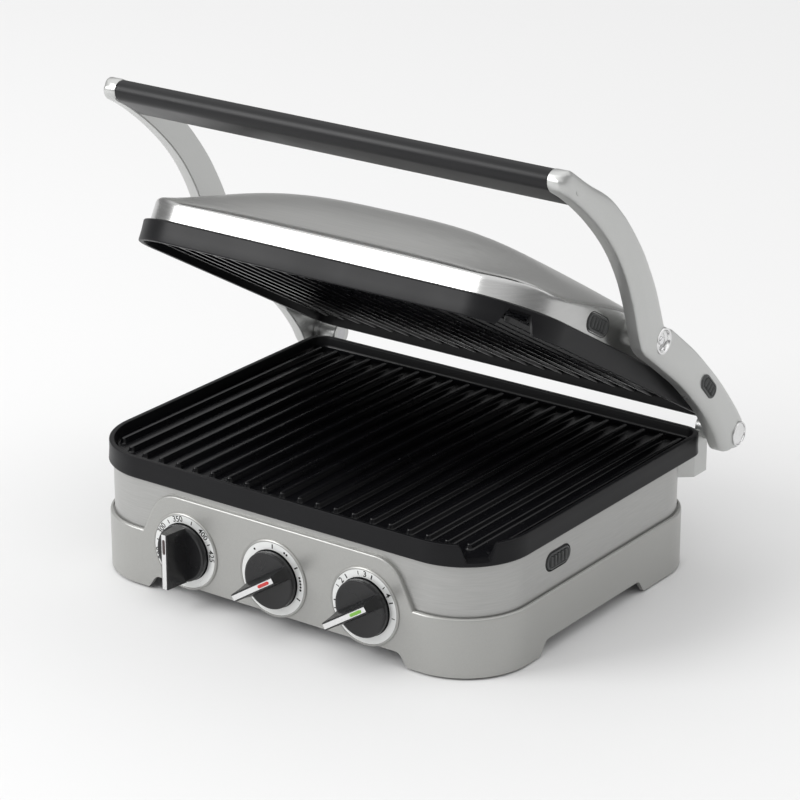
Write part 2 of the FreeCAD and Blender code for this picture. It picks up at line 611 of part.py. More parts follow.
# side outline of an arm as (y, height above the plate's rim), cover raised
ARM_END_R = GRIP_R + 0.4
ARM_FRONT = [(-70.4, 207.7), (-61.0, 201.8), (-48.2, 192.5), (-35.6, 182.0), (-20.5, 167.3), (-8.8, 153.1),
             (2.2, 135.2), (8.2, 122.3), (12.6, 110.5), (17.0, 96.0), (18.9, 89.6)]
ARM_ELBOW = [(18.9, 89.6), (22.4, 84.2), (28.4, 78.9), (36.0, 73.6)]
ARM_LOWER_FRONT = [(36.0, 73.6), (51.5, 61.6), (68.6, 48.2), (83.5, 34.8), (97.6, 20.6), (110.8, 3.6),
                   (118.0, -8.0)]
ARM_TOE = [(118.0, -8.0), (123.0, -11.5), (131.5, -13.3), (139.6, -13.2), (144.8, -10.2), (146.6, -4.6),
           (145.8, 1.4), (141.2, 8.4)]
ARM_LOWER_REAR = [(141.2, 8.4), (130.4, 21.6), (118.2, 34.9), (105.6, 48.0), (90.8, 61.7), (74.1, 75.9),
                  (58.4, 88.0)]
ARM_NOTCH = [(58.4, 88.0), (50.6, 93.4), (44.4, 96.4)]
ARM_REAR = [(44.4, 96.4), (42.2, 100.0), (38.4, 109.4), (30.2, 129.0), (22.6, 143.1), (12.8, 157.6),
            (1.2, 172.3), (-13.4, 187.3), (-28.0, 198.2), (-43.4, 206.9), (-62.5, 219.5)]


def arm():
    pieces = [ARM_FRONT, ARM_ELBOW, ARM_LOWER_FRONT, ARM_TOE, ARM_LOWER_REAR, ARM_NOTCH, ARM_REAR,
              [ARM_REAR[-1], ARM_FRONT[0]]]
    lifted = [[(y, z + RIM_TOP) for y, z in piece] for piece in pieces]
    plate = rounded_outline_x(lifted, ARM_IN, ARM_OUT)
    end = rod_x(ARM_END_R, ARM_IN, ARM_OUT, *GRIP_NOSE)
    body = plate.fuse(end).removeSplitter()
    body = eased(body, outer_edges(body, ARM_OUT), 3.0)
    body = eased(body, outer_edges(body, ARM_IN), 0.8)
    py, pz = pivot_point()
    holes = [rod_x(PIN_R + RUNNING, ARM_IN - 1, ARM_OUT - 2, HINGE_Y, HINGE_Z),
             rod_x(8.0, ARM_OUT - 2, ARM_OUT + 1, HINGE_Y, HINGE_Z),
             rod_x(PIN_R, ARM_IN - 1, ARM_OUT + 1, py, pz),
             rod_x(COLLAR_R, ARM_OUT - COLLAR_DEPTH, ARM_OUT + 1, py, pz),
             rod_x(3.0, ARM_IN - 1, ARM_OUT + 1, GRIP_Y, GRIP_Z)]
    return body.cut(holes)


def release_frame():
    """Middle of the hinge release on the right arm and the arm's direction there, in Y and Z."""
    return (95.9, RIM_TOP + 41.8), (0.70, -0.714)


def along_arm(shape):
    """A shape drawn along +Y about the origin, laid along the right arm at the release."""
    (y, z), (dy, dz) = release_frame()
    placed = shape.copy()
    placed.rotate(vec(0, 0, 0), X_AXIS, math.degrees(math.atan2(dz, dy)))
    placed.translate(vec(0, y, z))
    return placed


def arm_right():
    window = stadium_x(RELEASE_L + 2 * RELEASE_TRAVEL + 0.8, RELEASE_W, ARM_IN + 5.0, ARM_OUT + 1, 0, 0, 0.4)
    channel = box(ARM_IN - 1, ARM_IN + 5.0, -13.0, 30.0, -3.4, 3.4)
    return arm().cut([along_arm(window), along_arm(channel)])


def hinge_release():
    """The ribbed slide that frees the hinge to lie flat, with three finger ribs."""
    top = ARM_OUT + 0.6
    button = stadium_x(RELEASE_L, RELEASE_W, ARM_IN + 5.2, top, 0, 0)
    ribs = [box(top - 0.1, top + 0.9, 3.8 * k - 0.9, 3.8 * k + 0.9, -3.6, 3.6) for k in (-1, 0, 1)]
    return along_arm(button.fuse(ribs).removeSplitter())


def hinge_lock():
    """The steel tongue behind the release slide that reaches towards the hinge."""
    tongue = box(ARM_IN + 0.8, ARM_IN + 3.4, -8.0, 28.0, -3.0, 3.0)
    foot = box(ARM_IN + 3.4, ARM_IN + 5.2, -4.0, 4.0, -3.0, 3.0)
    return along_arm(tongue.fuse(foot).removeSplitter())


def pivot_bolt():
    """Shoulder bolt that carries the cover: domed head in the dished ring, shank through arm and boss."""
    py, pz = pivot_point()
    shank = rod_x(PIN_R, 137.2, ARM_OUT - COLLAR_DEPTH, py, pz)
    head = rod_x(BOLT_HEAD_R, ARM_OUT - COLLAR_DEPTH, ARM_OUT - 1.2, py, pz)
    head = eased(head, [e for e in head.Edges if abs(e.CenterOfMass.x - ARM_OUT + 1.2) < 0.01], 1.0)
    return shank.fuse(head).removeSplitter()


def pivot_collar():
    """The bright dished ring sunk in the arm round the bolt's head."""
    py, pz = pivot_point()
    ring = rod_x(COLLAR_R, ARM_OUT - COLLAR_DEPTH, ARM_OUT + 0.3, py, pz)
    dish = rod_x(COLLAR_R - 1.0, ARM_OUT - COLLAR_DEPTH + 0.8, ARM_OUT + 1, py, pz)
    return ring.cut([dish, rod_x(BOLT_HEAD_R, ARM_OUT - 6, ARM_OUT, py, pz)])


def hinge_cap():
    """The disc with a raised rim that closes the hinge bore in the arm's outer face."""
    cap = rod_x(7.8, ARM_OUT - 2, ARM_OUT + 0.4, HINGE_Y, HINGE_Z)
    return cap.cut(rod_x(6.8, ARM_OUT - 0.6, ARM_OUT + 1, HINGE_Y, HINGE_Z))


def grip_bar(radius, x0, x1):
    """An oval bar between the handle's nose and tail."""
    (ny, nz), (ty, tz) = GRIP_NOSE, GRIP_TAIL
    span = math.hypot(ty - ny, tz - nz)
    across = (-(tz - nz) / span * radius, (ty - ny) / span * radius)
    corners = [vec(x0, ny + across[0], nz + across[1]), vec(x0, ty + across[0], tz + across[1]),
               vec(x0, ty - across[0], tz - across[1]), vec(x0, ny - across[0], nz - across[1])]
    web = Part.Face(Part.makePolygon(corners + corners[:1])).extrude(vec(x1 - x0, 0, 0))
    return web.fuse([rod_x(radius, x0, x1, ny, nz), rod_x(radius, x0, x1, ty, tz)]).removeSplitter()


def grip():
    """The black oval handle."""
    return grip_bar(GRIP_R, -ARM_IN, ARM_IN).cut(rod_x(GRIP_BORE, -ARM_IN - 1, ARM_IN + 1, GRIP_Y, GRIP_Z))


def grip_core():
    """The steel rod inside the handle, tapped at both ends."""
    rod = rod_x(GRIP_BORE, -ARM_IN, ARM_IN, GRIP_Y, GRIP_Z)
    return rod.cut([rod_x(2.5, s * ARM_IN - 15, s * ARM_IN + 15, GRIP_Y, GRIP_Z) for s in (-1, 1)])


def grip_bolt():
    """Screw from inside the arm's end into the handle rod."""
    shank = rod_x(2.5, ARM_IN - 14, ARM_IN, GRIP_Y, GRIP_Z)
    return shank.fuse(rod_x(3.0, ARM_IN, ARM_OUT - 3.5, GRIP_Y, GRIP_Z)).removeSplitter()


def grip_end():
    """Flush plug that closes the bolt hole in the arm's end."""
    return rod_x(3.0, ARM_OUT - 3.5, ARM_OUT - 0.3, GRIP_Y, GRIP_Z)


# ---------------------------------------------------------------- cover
def dome_height(x, y):
    """Height of the cover's roof above its mating face."""
    span = LID_D / 2 + 1.5
    half = span + DOME_CROWN_Y if y < DOME_CROWN_Y else span - DOME_CROWN_Y
    arch = 1 - min(1.0, abs((y - DOME_CROWN_Y) / half)) ** 1.7
    reach = (y - PIVOT_Y) / (span - PIVOT_Y - 2)
    side = SIDE_ARCH_H * math.cos(math.pi / 2 * reach) ** 2 if abs(reach) < 1 else 0.0
    across = 1 - abs(x / (LID_W / 2)) ** 3
    return LID_CREASE + side + (DOME_H * arch - side) * across


def under_dome(drop):
    """Everything below the roof surface lowered by drop."""
    half_w, half_d, steps = LID_W / 2 + 1.5, LID_D / 2 + 1.4, 14
    grid = []
    for i in range(steps + 1):
        x = -half_w + 2 * half_w * i / steps
        row = []
        for j in range(steps + 1):
            y = -half_d + 2 * half_d * j / steps
            row.append(vec(x, y, LID_Z + dome_height(x, y) - drop))
        grid.append(row)
    roof = Part.BSplineSurface()
    roof.interpolate(grid)
    return roof.toShape().extrude(vec(0, 0, -90))


LID_BASE_Z = LID_Z + PLATE_H + 0.3
LID_FRAME_T = 2.2


def lid_shell():
    outer = rounded_prism(LID_W, LID_D, LID_R, LID_BASE_Z, LID_Z + 90).common(under_dome(0.0))
    wall = 2.0
    inner = rounded_prism(LID_W - 2 * wall, LID_D - 2 * wall, LID_R - wall, LID_BASE_Z - 1, LID_Z + 90)
    shell = outer.cut(inner.common(under_dome(wall)))
    bosses = both_sides(rod_x(11.0, 140.0, ARM_IN - 0.6, PIVOT_Y, PIVOT_Z))
    bores = both_sides(rod_x(PIN_R + RUNNING, 120.0, ARM_IN + 1, PIVOT_Y, PIVOT_Z))
    window = stadium_x(BUTTON_L, BUTTON_H, LID_W / 2 - 4, LID_W / 2 + 2, LID_BUTTON_Y, LID_BUTTON_Z, 0.4)
    return shell.fuse(bosses + lid_posts()).cut(bores + [window]).removeSplitter()


LID_BUTTON_Y, LID_BUTTON_Z = -38.5, LID_Z + 22.8


def lid_frame():
    """The moulded inner frame that closes the cover and carries the upper plate."""
    base = LID_BASE_Z
    plate = rounded_prism(LID_W - 4.6, LID_D - 4.6, LID_R - 2.3, base, base + LID_FRAME_T)
    opening = rounded_prism(DECK_W, DECK_D, DECK_R, base - 1, base + 4)
    wall = frame_prism(DECK_W + 11.8, DECK_D + 11.8, DECK_R + 5.9, 2.6, base + LID_FRAME_T, base + 10)
    frame = plate.cut(opening).fuse(wall)
    holes = [rod_z(1.6, base - 1, base + 3, x, y) for x, y in lid_screw_places()]
    sinks = [rod_z(3.0, base - 1, base + 1.2, x, y) for x, y in lid_screw_places()]
    return frame.cut(holes + sinks + heater_slots(base - 1, base + 11)).removeSplitter()


def lid_screw_places():
    return [(sx * 90, sy * 112.2) for sx in (-1, 1) for sy in (-1, 1)]


def lid_screws():
    base = LID_BASE_Z
    return [rod_z(1.6, base, base + 9, x, y).fuse(rod_z(3.0, base, base + 1.2, x, y)).removeSplitter()
            for x, y in lid_screw_places()]


def lid_posts():
    """Screw bosses inside the cover, from its frame up to its roof."""
    low = LID_BASE_Z + LID_FRAME_T
    return [rod_z(3.6, low, LID_Z + dome_height(x, y) - 1.0, x, y).cut(rod_z(1.6, low - 1, low + 7, x, y))
            for x, y in lid_screw_places()]


UPPER_HEATER_Z = LID_BASE_Z + HEATER_R + 0.5
UPPER_DISH_Z = UPPER_HEATER_Z + DISH_DEPTH + 0.8


def pivot_spring():
    """A flat coil round the pivot that presses the cover back in line with the arms."""
    ring = rod_x(9.0, 137.2, 140.0, PIVOT_Y, PIVOT_Z).cut(rod_x(6.0, 136.0, 141.0, PIVOT_Y, PIVOT_Z))
    tail = box(137.2, 140.0, PIVOT_Y + 7.5, PIVOT_Y + 34, PIVOT_Z - 1.5, PIVOT_Z + 1.5)
    return ring.fuse(tail).removeSplitter()


# ---------------------------------------------------------------- plate release buttons


def ribbed_button(x_face, y, z):
    """An oval push button with four finger ribs, standing just proud of its wall."""
    top = x_face + 0.8
    body = stadium_x(BUTTON_L, BUTTON_H, x_face - BUTTON_DEEP, top, y, z)
    ribs = [box(top - 0.1, top + 0.9, y + 4.2 * k - 0.9, y + 4.2 * k + 0.9, z - 4.0, z + 4.0)
            for k in (-1.5, -0.5, 0.5, 1.5)]
    return body.fuse(ribs).removeSplitter()


def latch_strip(x_face, y, z, z_plate):
    """A bent strip from the button up to the edge of the plate."""
    low, high = sorted((z, z_plate))
    back = x_face - BUTTON_DEEP
    stem = box(back - 1.4, back, y - 8, y + 8, low, high)
    lip_low = z_plate - 1.4 if z_plate > z else z_plate
    lip = box(back - 5.0, back, y - 8, y + 8, lip_low, lip_low + 1.4)
    return stem.fuse(lip).removeSplitter()


# ---------------------------------------------------------------- the whole press
def build_base():
    export("lower_plate", cooking_plate())
    export("base_upper_shell", base_upper_shell())
    export("base_skirt", base_skirt())
    export("bottom_cover", bottom_cover())
    export("foot_pads", foot_pads())
    export("cover_screws", cover_screws())
    export("cover_posts", cover_posts())
    export("cord_gland", cord_gland())
    export("lower_heater", heater(LOWER_HEATER_Z))
    export("lower_reflector", reflector(DECK_Z, LOWER_DISH_Z))
    export("lower_heater_clips", heater_clips(LOWER_HEATER_Z, 1))
    export("terminal_block", terminal_block())
    export("thermal_fuse", thermal_fuse())
    export("base_release_button", ribbed_button(UPPER_W / 2, BUTTON_Y, BUTTON_Z))
    export("base_latch", latch_strip(UPPER_W / 2, BUTTON_Y, BUTTON_Z, DECK_Z - 0.3))


def build_controls():
    for kind, x in (("griddle", -DIAL_X), ("selector", 0.0), ("grill", DIAL_X)):
        export(f"{kind}_ring", dial_ring(x))
        export(f"{kind}_knob", knob(kind, x))
        export(f"{kind}_inlay", knob_inlay(kind, x))
        export(f"{kind}_lens", knob_lens(kind, x))
        export(f"{kind}_shaft", control_shaft(x))
    export("griddle_thermostat", thermostat(-DIAL_X))
    export("grill_thermostat", thermostat(DIAL_X))
    export("selector_switch", selector_switch(0.0))


def build_hinge_and_arms():
    export("hinge_bracket_right", hinge_ear())
    export("hinge_bracket_left", mirrored(hinge_ear()))
    export("bracket_bolts", ear_bolts())
    export("hinge_pins", both_sides(hinge_pin()))
    export("hinge_washers", both_sides(hinge_washer()))
    export("arm_right", arm_right())
    export("arm_left", mirrored(arm()))
    export("grip", grip())
    export("grip_core", grip_core())
    export("grip_bolts", both_sides(grip_bolt()))
    export("grip_plugs", both_sides(grip_end()))
    export("pivot_bolts", both_sides(pivot_bolt()))
    export("pivot_collars", both_sides(pivot_collar()))
    export("hinge_caps", both_sides(hinge_cap()))
    export("hinge_release", hinge_release())
    export("hinge_lock", hinge_lock())


def build_cover():
    export("lid_shell", opened(lid_shell()))
    export("lid_frame", opened(lid_frame()))
    export("lid_screws", [opened(s) for s in lid_screws()])
    export("upper_reflector", opened(reflector(LID_BASE_Z + LID_FRAME_T, UPPER_DISH_Z)))
    export("upper_heater", opened(heater(UPPER_HEATER_Z)))
    export("upper_heater_clips", [opened(c) for c in heater_clips(UPPER_HEATER_Z, -1)])
    export("pivot_springs", [opened(s) for s in both_sides(pivot_spring())])
    export("upper_plate", opened(mirrored_above(cooking_plate())))
    export("lid_release_button", opened(ribbed_button(LID_W / 2, LID_BUTTON_Y, LID_BUTTON_Z)))
    export("lid_latch", opened(latch_strip(LID_W / 2, LID_BUTTON_Y, LID_BUTTON_Z, LID_BASE_Z + 2.6)))


os.makedirs("parts", exist_ok=True)
build_base()
build_controls()
build_hinge_and_arms()
build_cover()
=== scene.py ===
import json
import math

import bmesh
import bpy
from mathutils import Matrix, Vector


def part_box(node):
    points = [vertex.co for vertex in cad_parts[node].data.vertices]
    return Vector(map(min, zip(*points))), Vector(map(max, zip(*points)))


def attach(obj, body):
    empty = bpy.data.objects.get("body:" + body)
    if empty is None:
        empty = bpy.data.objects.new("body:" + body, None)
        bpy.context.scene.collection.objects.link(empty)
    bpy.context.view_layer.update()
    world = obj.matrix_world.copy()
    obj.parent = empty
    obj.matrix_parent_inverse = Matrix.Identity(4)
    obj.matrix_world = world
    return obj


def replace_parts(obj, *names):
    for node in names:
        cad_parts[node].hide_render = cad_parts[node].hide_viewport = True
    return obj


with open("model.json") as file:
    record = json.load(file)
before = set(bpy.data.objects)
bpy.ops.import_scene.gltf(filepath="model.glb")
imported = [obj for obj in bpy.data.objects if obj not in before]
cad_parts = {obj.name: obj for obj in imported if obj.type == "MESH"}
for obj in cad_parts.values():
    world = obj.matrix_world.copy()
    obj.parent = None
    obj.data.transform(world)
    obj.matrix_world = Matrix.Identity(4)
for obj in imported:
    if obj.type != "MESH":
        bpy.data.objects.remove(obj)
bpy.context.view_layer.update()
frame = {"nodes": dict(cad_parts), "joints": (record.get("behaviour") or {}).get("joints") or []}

# Shapes are written in millimetres, with the cover closed and y = 0 in the middle of the plates.
# place_base and place_cover put them in the row's frame, with the cover raised.
MM = 0.001


def node_box(name):
    """Lowest and highest corner of a CAD node, in millimetres."""
    return tuple(Vector(corner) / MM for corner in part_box(name))


def joint(name):
    return next(j for j in frame["joints"] if j["name"] == name)


PLATE_LO, PLATE_HI = node_box("lower_plate")
SHIFT_Y = (PLATE_LO.y + PLATE_HI.y) / 2
HINGE = Vector(joint("arms_hinge")["pos_m"]) / MM
PIVOT = Vector(joint("lid_float")["pos_m"]) / MM
OPEN_ANGLE = math.radians(29.9)

PLATE_W, PLATE_D, PLATE_H = 310.0, 248.3, 14.0
PLATE_R_FRONT, PLATE_R_REAR = 46.0, 14.0
RIM_TOP = 86.5
RIM_BOTTOM = RIM_TOP - PLATE_H
PAN_Z = RIM_TOP - 7.7
CLOSED_GAP = 0.5
LID_Z = RIM_TOP + CLOSED_GAP
LID_W, LID_D, LID_R = 302.0, 240.2, 42.0
LID_CREASE, DOME_H, CROWN_Y, SIDE_ARCH_H = 26.3, 33.2, -57.0, 12.5
LID_PIVOT_Y, LID_PIVOT_Z = 7.8, 114.8
ARM_IN, ARM_OUT = 159.5, 171.4
DIAL_X, DIAL_Z = 69.0, 33.5
FACE_Y = -PLATE_D / 2 - 1.2
BLADE_HALF = 18.3                      # half the length of the dials' finger blades
BLADE_TOP_Y = FACE_Y - 19.71           # the lenses stand 0.28 mm above this, level with the CAD's blades
BASE_FACE, LID_FACE = 152.0, LID_W / 2   # right-hand faces that carry the plate releases
BUTTON_L, BUTTON_H = 25.0, 11.0
BASE_BUTTON_Y, BASE_BUTTON_Z = -42.5, 57.5
LID_BUTTON_Y, LID_BUTTON_Z = -38.5, LID_Z + 22.8
RELEASE_L, RELEASE_W = 21.0, 10.0        # hinge release on the right arm
RELEASE_Y, RELEASE_Z = 95.9, RIM_TOP + 41.8
ARM_SLOPE = math.atan2(-0.714, 0.70)     # the lower arm's direction at the release
BOSS_R, BOSS_SPIGOT_R, BOSS_IN = 7.4, 5.4, 146.0
RIB_PITCH, RIB_COUNT = 13.6, 22


def place_base(p):
    return (p + Vector((0, SHIFT_Y, 0))) * MM


def place_cover(p):
    turn = Matrix.Rotation(-OPEN_ANGLE, 3, "X")
    hinge = HINGE - Vector((HINGE.x, SHIFT_Y, 0))
    return place_base(turn @ (p - hinge) + hinge)


# ---------------------------------------------------------------- mesh tools
class Build:
    """Vertices in millimetres, faces, and a material number for each face."""

    def __init__(self):
        self.verts, self.faces, self.slots = [], [], []

    def ring(self, points):
        start = len(self.verts)
        self.verts += [Vector(p) for p in points]
        return list(range(start, len(self.verts)))

    def face(self, corners, slot=0):
        self.faces.append(tuple(corners))
        self.slots.append(slot)

    def bridge(self, a, b, slot=0, closed=True):
        count = len(a) if closed else len(a) - 1
        for k in range(count):
            n = (k + 1) % len(a)
            self.face((a[k], a[n], b[n], b[k]), slot)

    def loft(self, rings, slot=0, closed=True):
        made = [self.ring(r) for r in rings]
        for a, b in zip(made, made[1:]):
            self.bridge(a, b, slot, closed)
        return made

    def cap(self, ring, slot=0, flip=False):
        self.face(tuple(reversed(ring)) if flip else tuple(ring), slot)

    def moved(self, function):
        self.verts = [function(v) for v in self.verts]
        return self

    def flipped(self):
        self.faces = [tuple(reversed(f)) for f in self.faces]
        return self

    def add(self, other, slot_shift=0):
        base = len(self.verts)
        self.verts += other.verts
        self.faces += [tuple(i + base for i in f) for f in other.faces]
        self.slots += [s + slot_shift for s in other.slots]
        return self


def piece(name, build, body, materials, place=place_base, sharp=32.0, bevel=0.0, segments=2):
    """Makes a Blender object of a Build, riding on a body."""
    mesh = bpy.data.meshes.new(name)
    mesh.from_pydata([place(v) for v in build.verts], [], build.faces)
    for material in materials:
        mesh.materials.append(material)
    for polygon, number in zip(mesh.polygons, build.slots):
        polygon.material_index = number
        polygon.use_smooth = True
    mesh.update()
    mesh.set_sharp_from_angle(angle=math.radians(sharp))
    obj = bpy.data.objects.new(name, mesh)
    bpy.context.scene.collection.objects.link(obj)
    if bevel:
        modifier = obj.modifiers.new("bevel", "BEVEL")
        modifier.width = bevel * MM
        modifier.segments = segments
        modifier.limit_method = "ANGLE"
        modifier.angle_limit = math.radians(sharp)
        modifier.harden_normals = True
    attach(obj, body)
    return obj


def rounded_rect(w, d, r_front, r_rear=None, arc=18, step=6.0):
    """Points (x, y, outward x, outward y) anticlockwise round a rounded rectangle."""
    rear = r_front if r_rear is None else r_rear
    w, d = w / 2, d / 2
    corners = [(w - r_front, r_front - d, r_front, 270), (w - rear, d - rear, rear, 0),
               (rear - w, d - rear, rear, 90), (r_front - w, r_front - d, r_front, 180)]
    points = []
    for k, (cx, cy, r, start) in enumerate(corners):
        for i in range(arc + 1):
            t = math.radians(start + 90 * i / arc)
            points.append((cx + r * math.cos(t), cy + r * math.sin(t), math.cos(t), math.sin(t)))
        nx, ny, nr, following = corners[(k + 1) % 4]
        t = math.radians(following)
        end = (nx + nr * math.cos(t), ny + nr * math.sin(t))
        begin = points[-1]
        length = math.hypot(end[0] - begin[0], end[1] - begin[1])
        pieces = max(1, int(length / step))
        for i in range(1, pieces):
            f = i / pieces
            x, y = (b + (e - b) * f for b, e in zip(begin, end))
            points.append((x, y, *begin[2:4]))
    return points


def inset_ring(outline, inset, z):
    """The outline moved inwards; z is a height or a function of x and y."""
    ring = []
    for x, y, nx, ny in outline:
        px, py = x - nx * inset, y - ny * inset
        ring.append((px, py, z(px, py) if callable(z) else z))
    return ring


def stadium(length, height, arc=12):
    """Points (u, v, outward u, outward v) round an oval, long in u."""
    r = height / 2
    half = length / 2 - r
    points = []
    for centre, start in ((half, -90), (-half, 90)):
        for i in range(arc + 1):
            t = math.radians(start + 180 * i / arc)
            points.append((centre + r * math.cos(t), r * math.sin(t), math.cos(t), math.sin(t)))
    return points


def lathe(profile, segments=64, slot=0, slots=None):
    """A Build turned about the x axis from (radius, x) points."""
    build = Build()
    rings = []
    for radius, x in profile:
        rings.append(build.ring([(x, radius * math.cos(2 * math.pi * k / segments),
                                  radius * math.sin(2 * math.pi * k / segments)) for k in range(segments)]))
    for n, (a, b) in enumerate(zip(rings, rings[1:])):
        build.bridge(a, b, slots[n] if slots else slot)
    build.cap(rings[0], slots[0] if slots else slot, flip=True)
    build.cap(rings[-1], slots[-1] if slots else slot)
    return build


def mirrored_x(build):
    return build.moved(lambda v: Vector((-v.x, v.y, v.z))).flipped()


# ---------------------------------------------------------------- materials
class Nodes:
    """A small helper for writing node materials."""

    def __init__(self, name, colour, metallic, roughness):
        self.material = bpy.data.materials.new(name)
        self.material.use_nodes = True
        self.tree = self.material.node_tree
        self.shader = self.tree.nodes["Principled BSDF"]
        self.shader.inputs["Base Color"].default_value = (*colour, 1)
        self.shader.inputs["Metallic"].default_value = metallic
        self.shader.inputs["Roughness"].default_value = roughness
        self.coords = self.new("ShaderNodeTexCoord").outputs["Object"]

    def new(self, kind, **settings):
        node = self.tree.nodes.new(kind)
        for key, value in settings.items():
            setattr(node, key, value)
        return node

    def link(self, a, b):
        self.tree.links.new(a, b)

    def noise(self, scale, stretch=(1, 1, 1), detail=3.0, rough=0.5):
        mapping = self.new("ShaderNodeMapping")
        mapping.inputs["Scale"].default_value = stretch
        self.link(self.coords, mapping.inputs["Vector"])
        noise = self.new("ShaderNodeTexNoise")
        noise.inputs["Scale"].default_value = scale
        noise.inputs["Detail"].default_value = detail
        noise.inputs["Roughness"].default_value = rough
        self.link(mapping.outputs["Vector"], noise.inputs["Vector"])
        return noise.outputs["Fac"]

    def ranged(self, value, low, high, start=0.3, end=0.7):
        node = self.new("ShaderNodeMapRange")
        node.inputs["From Min"].default_value = start
        node.inputs["From Max"].default_value = end
        node.inputs["To Min"].default_value = low
        node.inputs["To Max"].default_value = high
        self.link(value, node.inputs["Value"])
        return node.outputs["Result"]

    def blend(self, value, dark, light):
        node = self.new("ShaderNodeMix", data_type="RGBA")
        node.inputs[6].default_value = (*dark, 1)
        node.inputs[7].default_value = (*light, 1)
        self.link(value, node.inputs[0])
        return node.outputs[2]

    def math(self, operation, a, b):
        node = self.new("ShaderNodeMath", operation=operation)
        for socket, value in zip(node.inputs, (a, b)):
            if isinstance(value, (int, float)):
                socket.default_value = value
            else:
                self.link(value, socket)
        return node.outputs[0]

    def bump(self, height, distance, strength=1.0):
        node = self.new("ShaderNodeBump")
        node.inputs["Strength"].default_value = strength
        node.inputs["Distance"].default_value = distance
        self.link(height, node.inputs["Height"])
        self.link(node.outputs["Normal"], self.shader.inputs["Normal"])

    def set(self, **sockets):
        for key, value in sockets.items():
            self.shader.inputs[key.replace("_", " ")].default_value = value


def brushed(name, colour, roughness, stretch, scale=260.0, spread=0.06, grain=0.00002, metallic=1.0):
    """Metal with a fine grain along one direction and faint wider variation."""
    n = Nodes(name, colour, metallic, roughness)
    fine = n.noise(scale, stretch, 4.0, 0.6)
    wide = n.noise(9.0, (1, 1, 1), 3.0)
    mixed = n.math("ADD", n.math("MULTIPLY", fine, 0.7), n.math("MULTIPLY", wide, 0.3))
    n.link(n.ranged(mixed, roughness - spread, roughness + spread), n.shader.inputs["Roughness"])
    dark, light = ([c * f for c in colour] for f in (0.93, 1.05))
    n.link(n.blend(n.ranged(fine, 0.0, 1.0), dark, light), n.shader.inputs["Base Color"])
    n.bump(fine, grain)
    return n.material


def satin_paint(name, colour, roughness, metallic, fleck=0.05):
    """Metallic paint: tiny flakes, slight orange peel and soft wear in the gloss."""
    n = Nodes(name, colour, metallic, roughness)
    flakes = n.noise(2600.0, (1, 1, 1), 2.0)
    peel = n.noise(420.0, (1, 1, 1), 2.0)
    wide = n.noise(14.0, (1, 1, 1), 4.0)
    dark, light = ([c * f for c in colour] for f in (1 - fleck, 1 + fleck))
    n.link(n.blend(n.ranged(flakes, 0.0, 1.0), dark, light), n.shader.inputs["Base Color"])
    n.link(n.ranged(wide, roughness - 0.04, roughness + 0.05), n.shader.inputs["Roughness"])
    n.bump(peel, 0.000012)
    return n.material


def moulded(name, colour, roughness, grain=0.00002, scale=900.0, spread=0.05, specular=0.5):
    """Plastic, rubber or coating with a fine texture."""
    n = Nodes(name, colour, 0.0, roughness)
    n.set(Specular_IOR_Level=specular)
    fine = n.noise(scale, (1, 1, 1), 3.0)
    wide = n.noise(20.0, (1, 1, 1), 4.0)
    n.link(n.ranged(wide, roughness - spread, roughness + spread), n.shader.inputs["Roughness"])
    dark, light = ([c * f for c in colour] for f in (0.85, 1.15))
    n.link(n.blend(n.ranged(wide, 0.0, 1.0), dark, light), n.shader.inputs["Base Color"])
    n.bump(fine, grain)
    return n.material


def lens(name, colour, glow):
    n = Nodes(name, colour, 0.0, 0.12)
    n.set(Coat_Weight=0.6, Emission_Color=(*colour, 1), Emission_Strength=glow)
    ribs = n.noise(1500.0, (1, 1, 1), 1.0)
    n.link(n.ranged(ribs, 0.08, 0.2), n.shader.inputs["Roughness"])
    return n.material


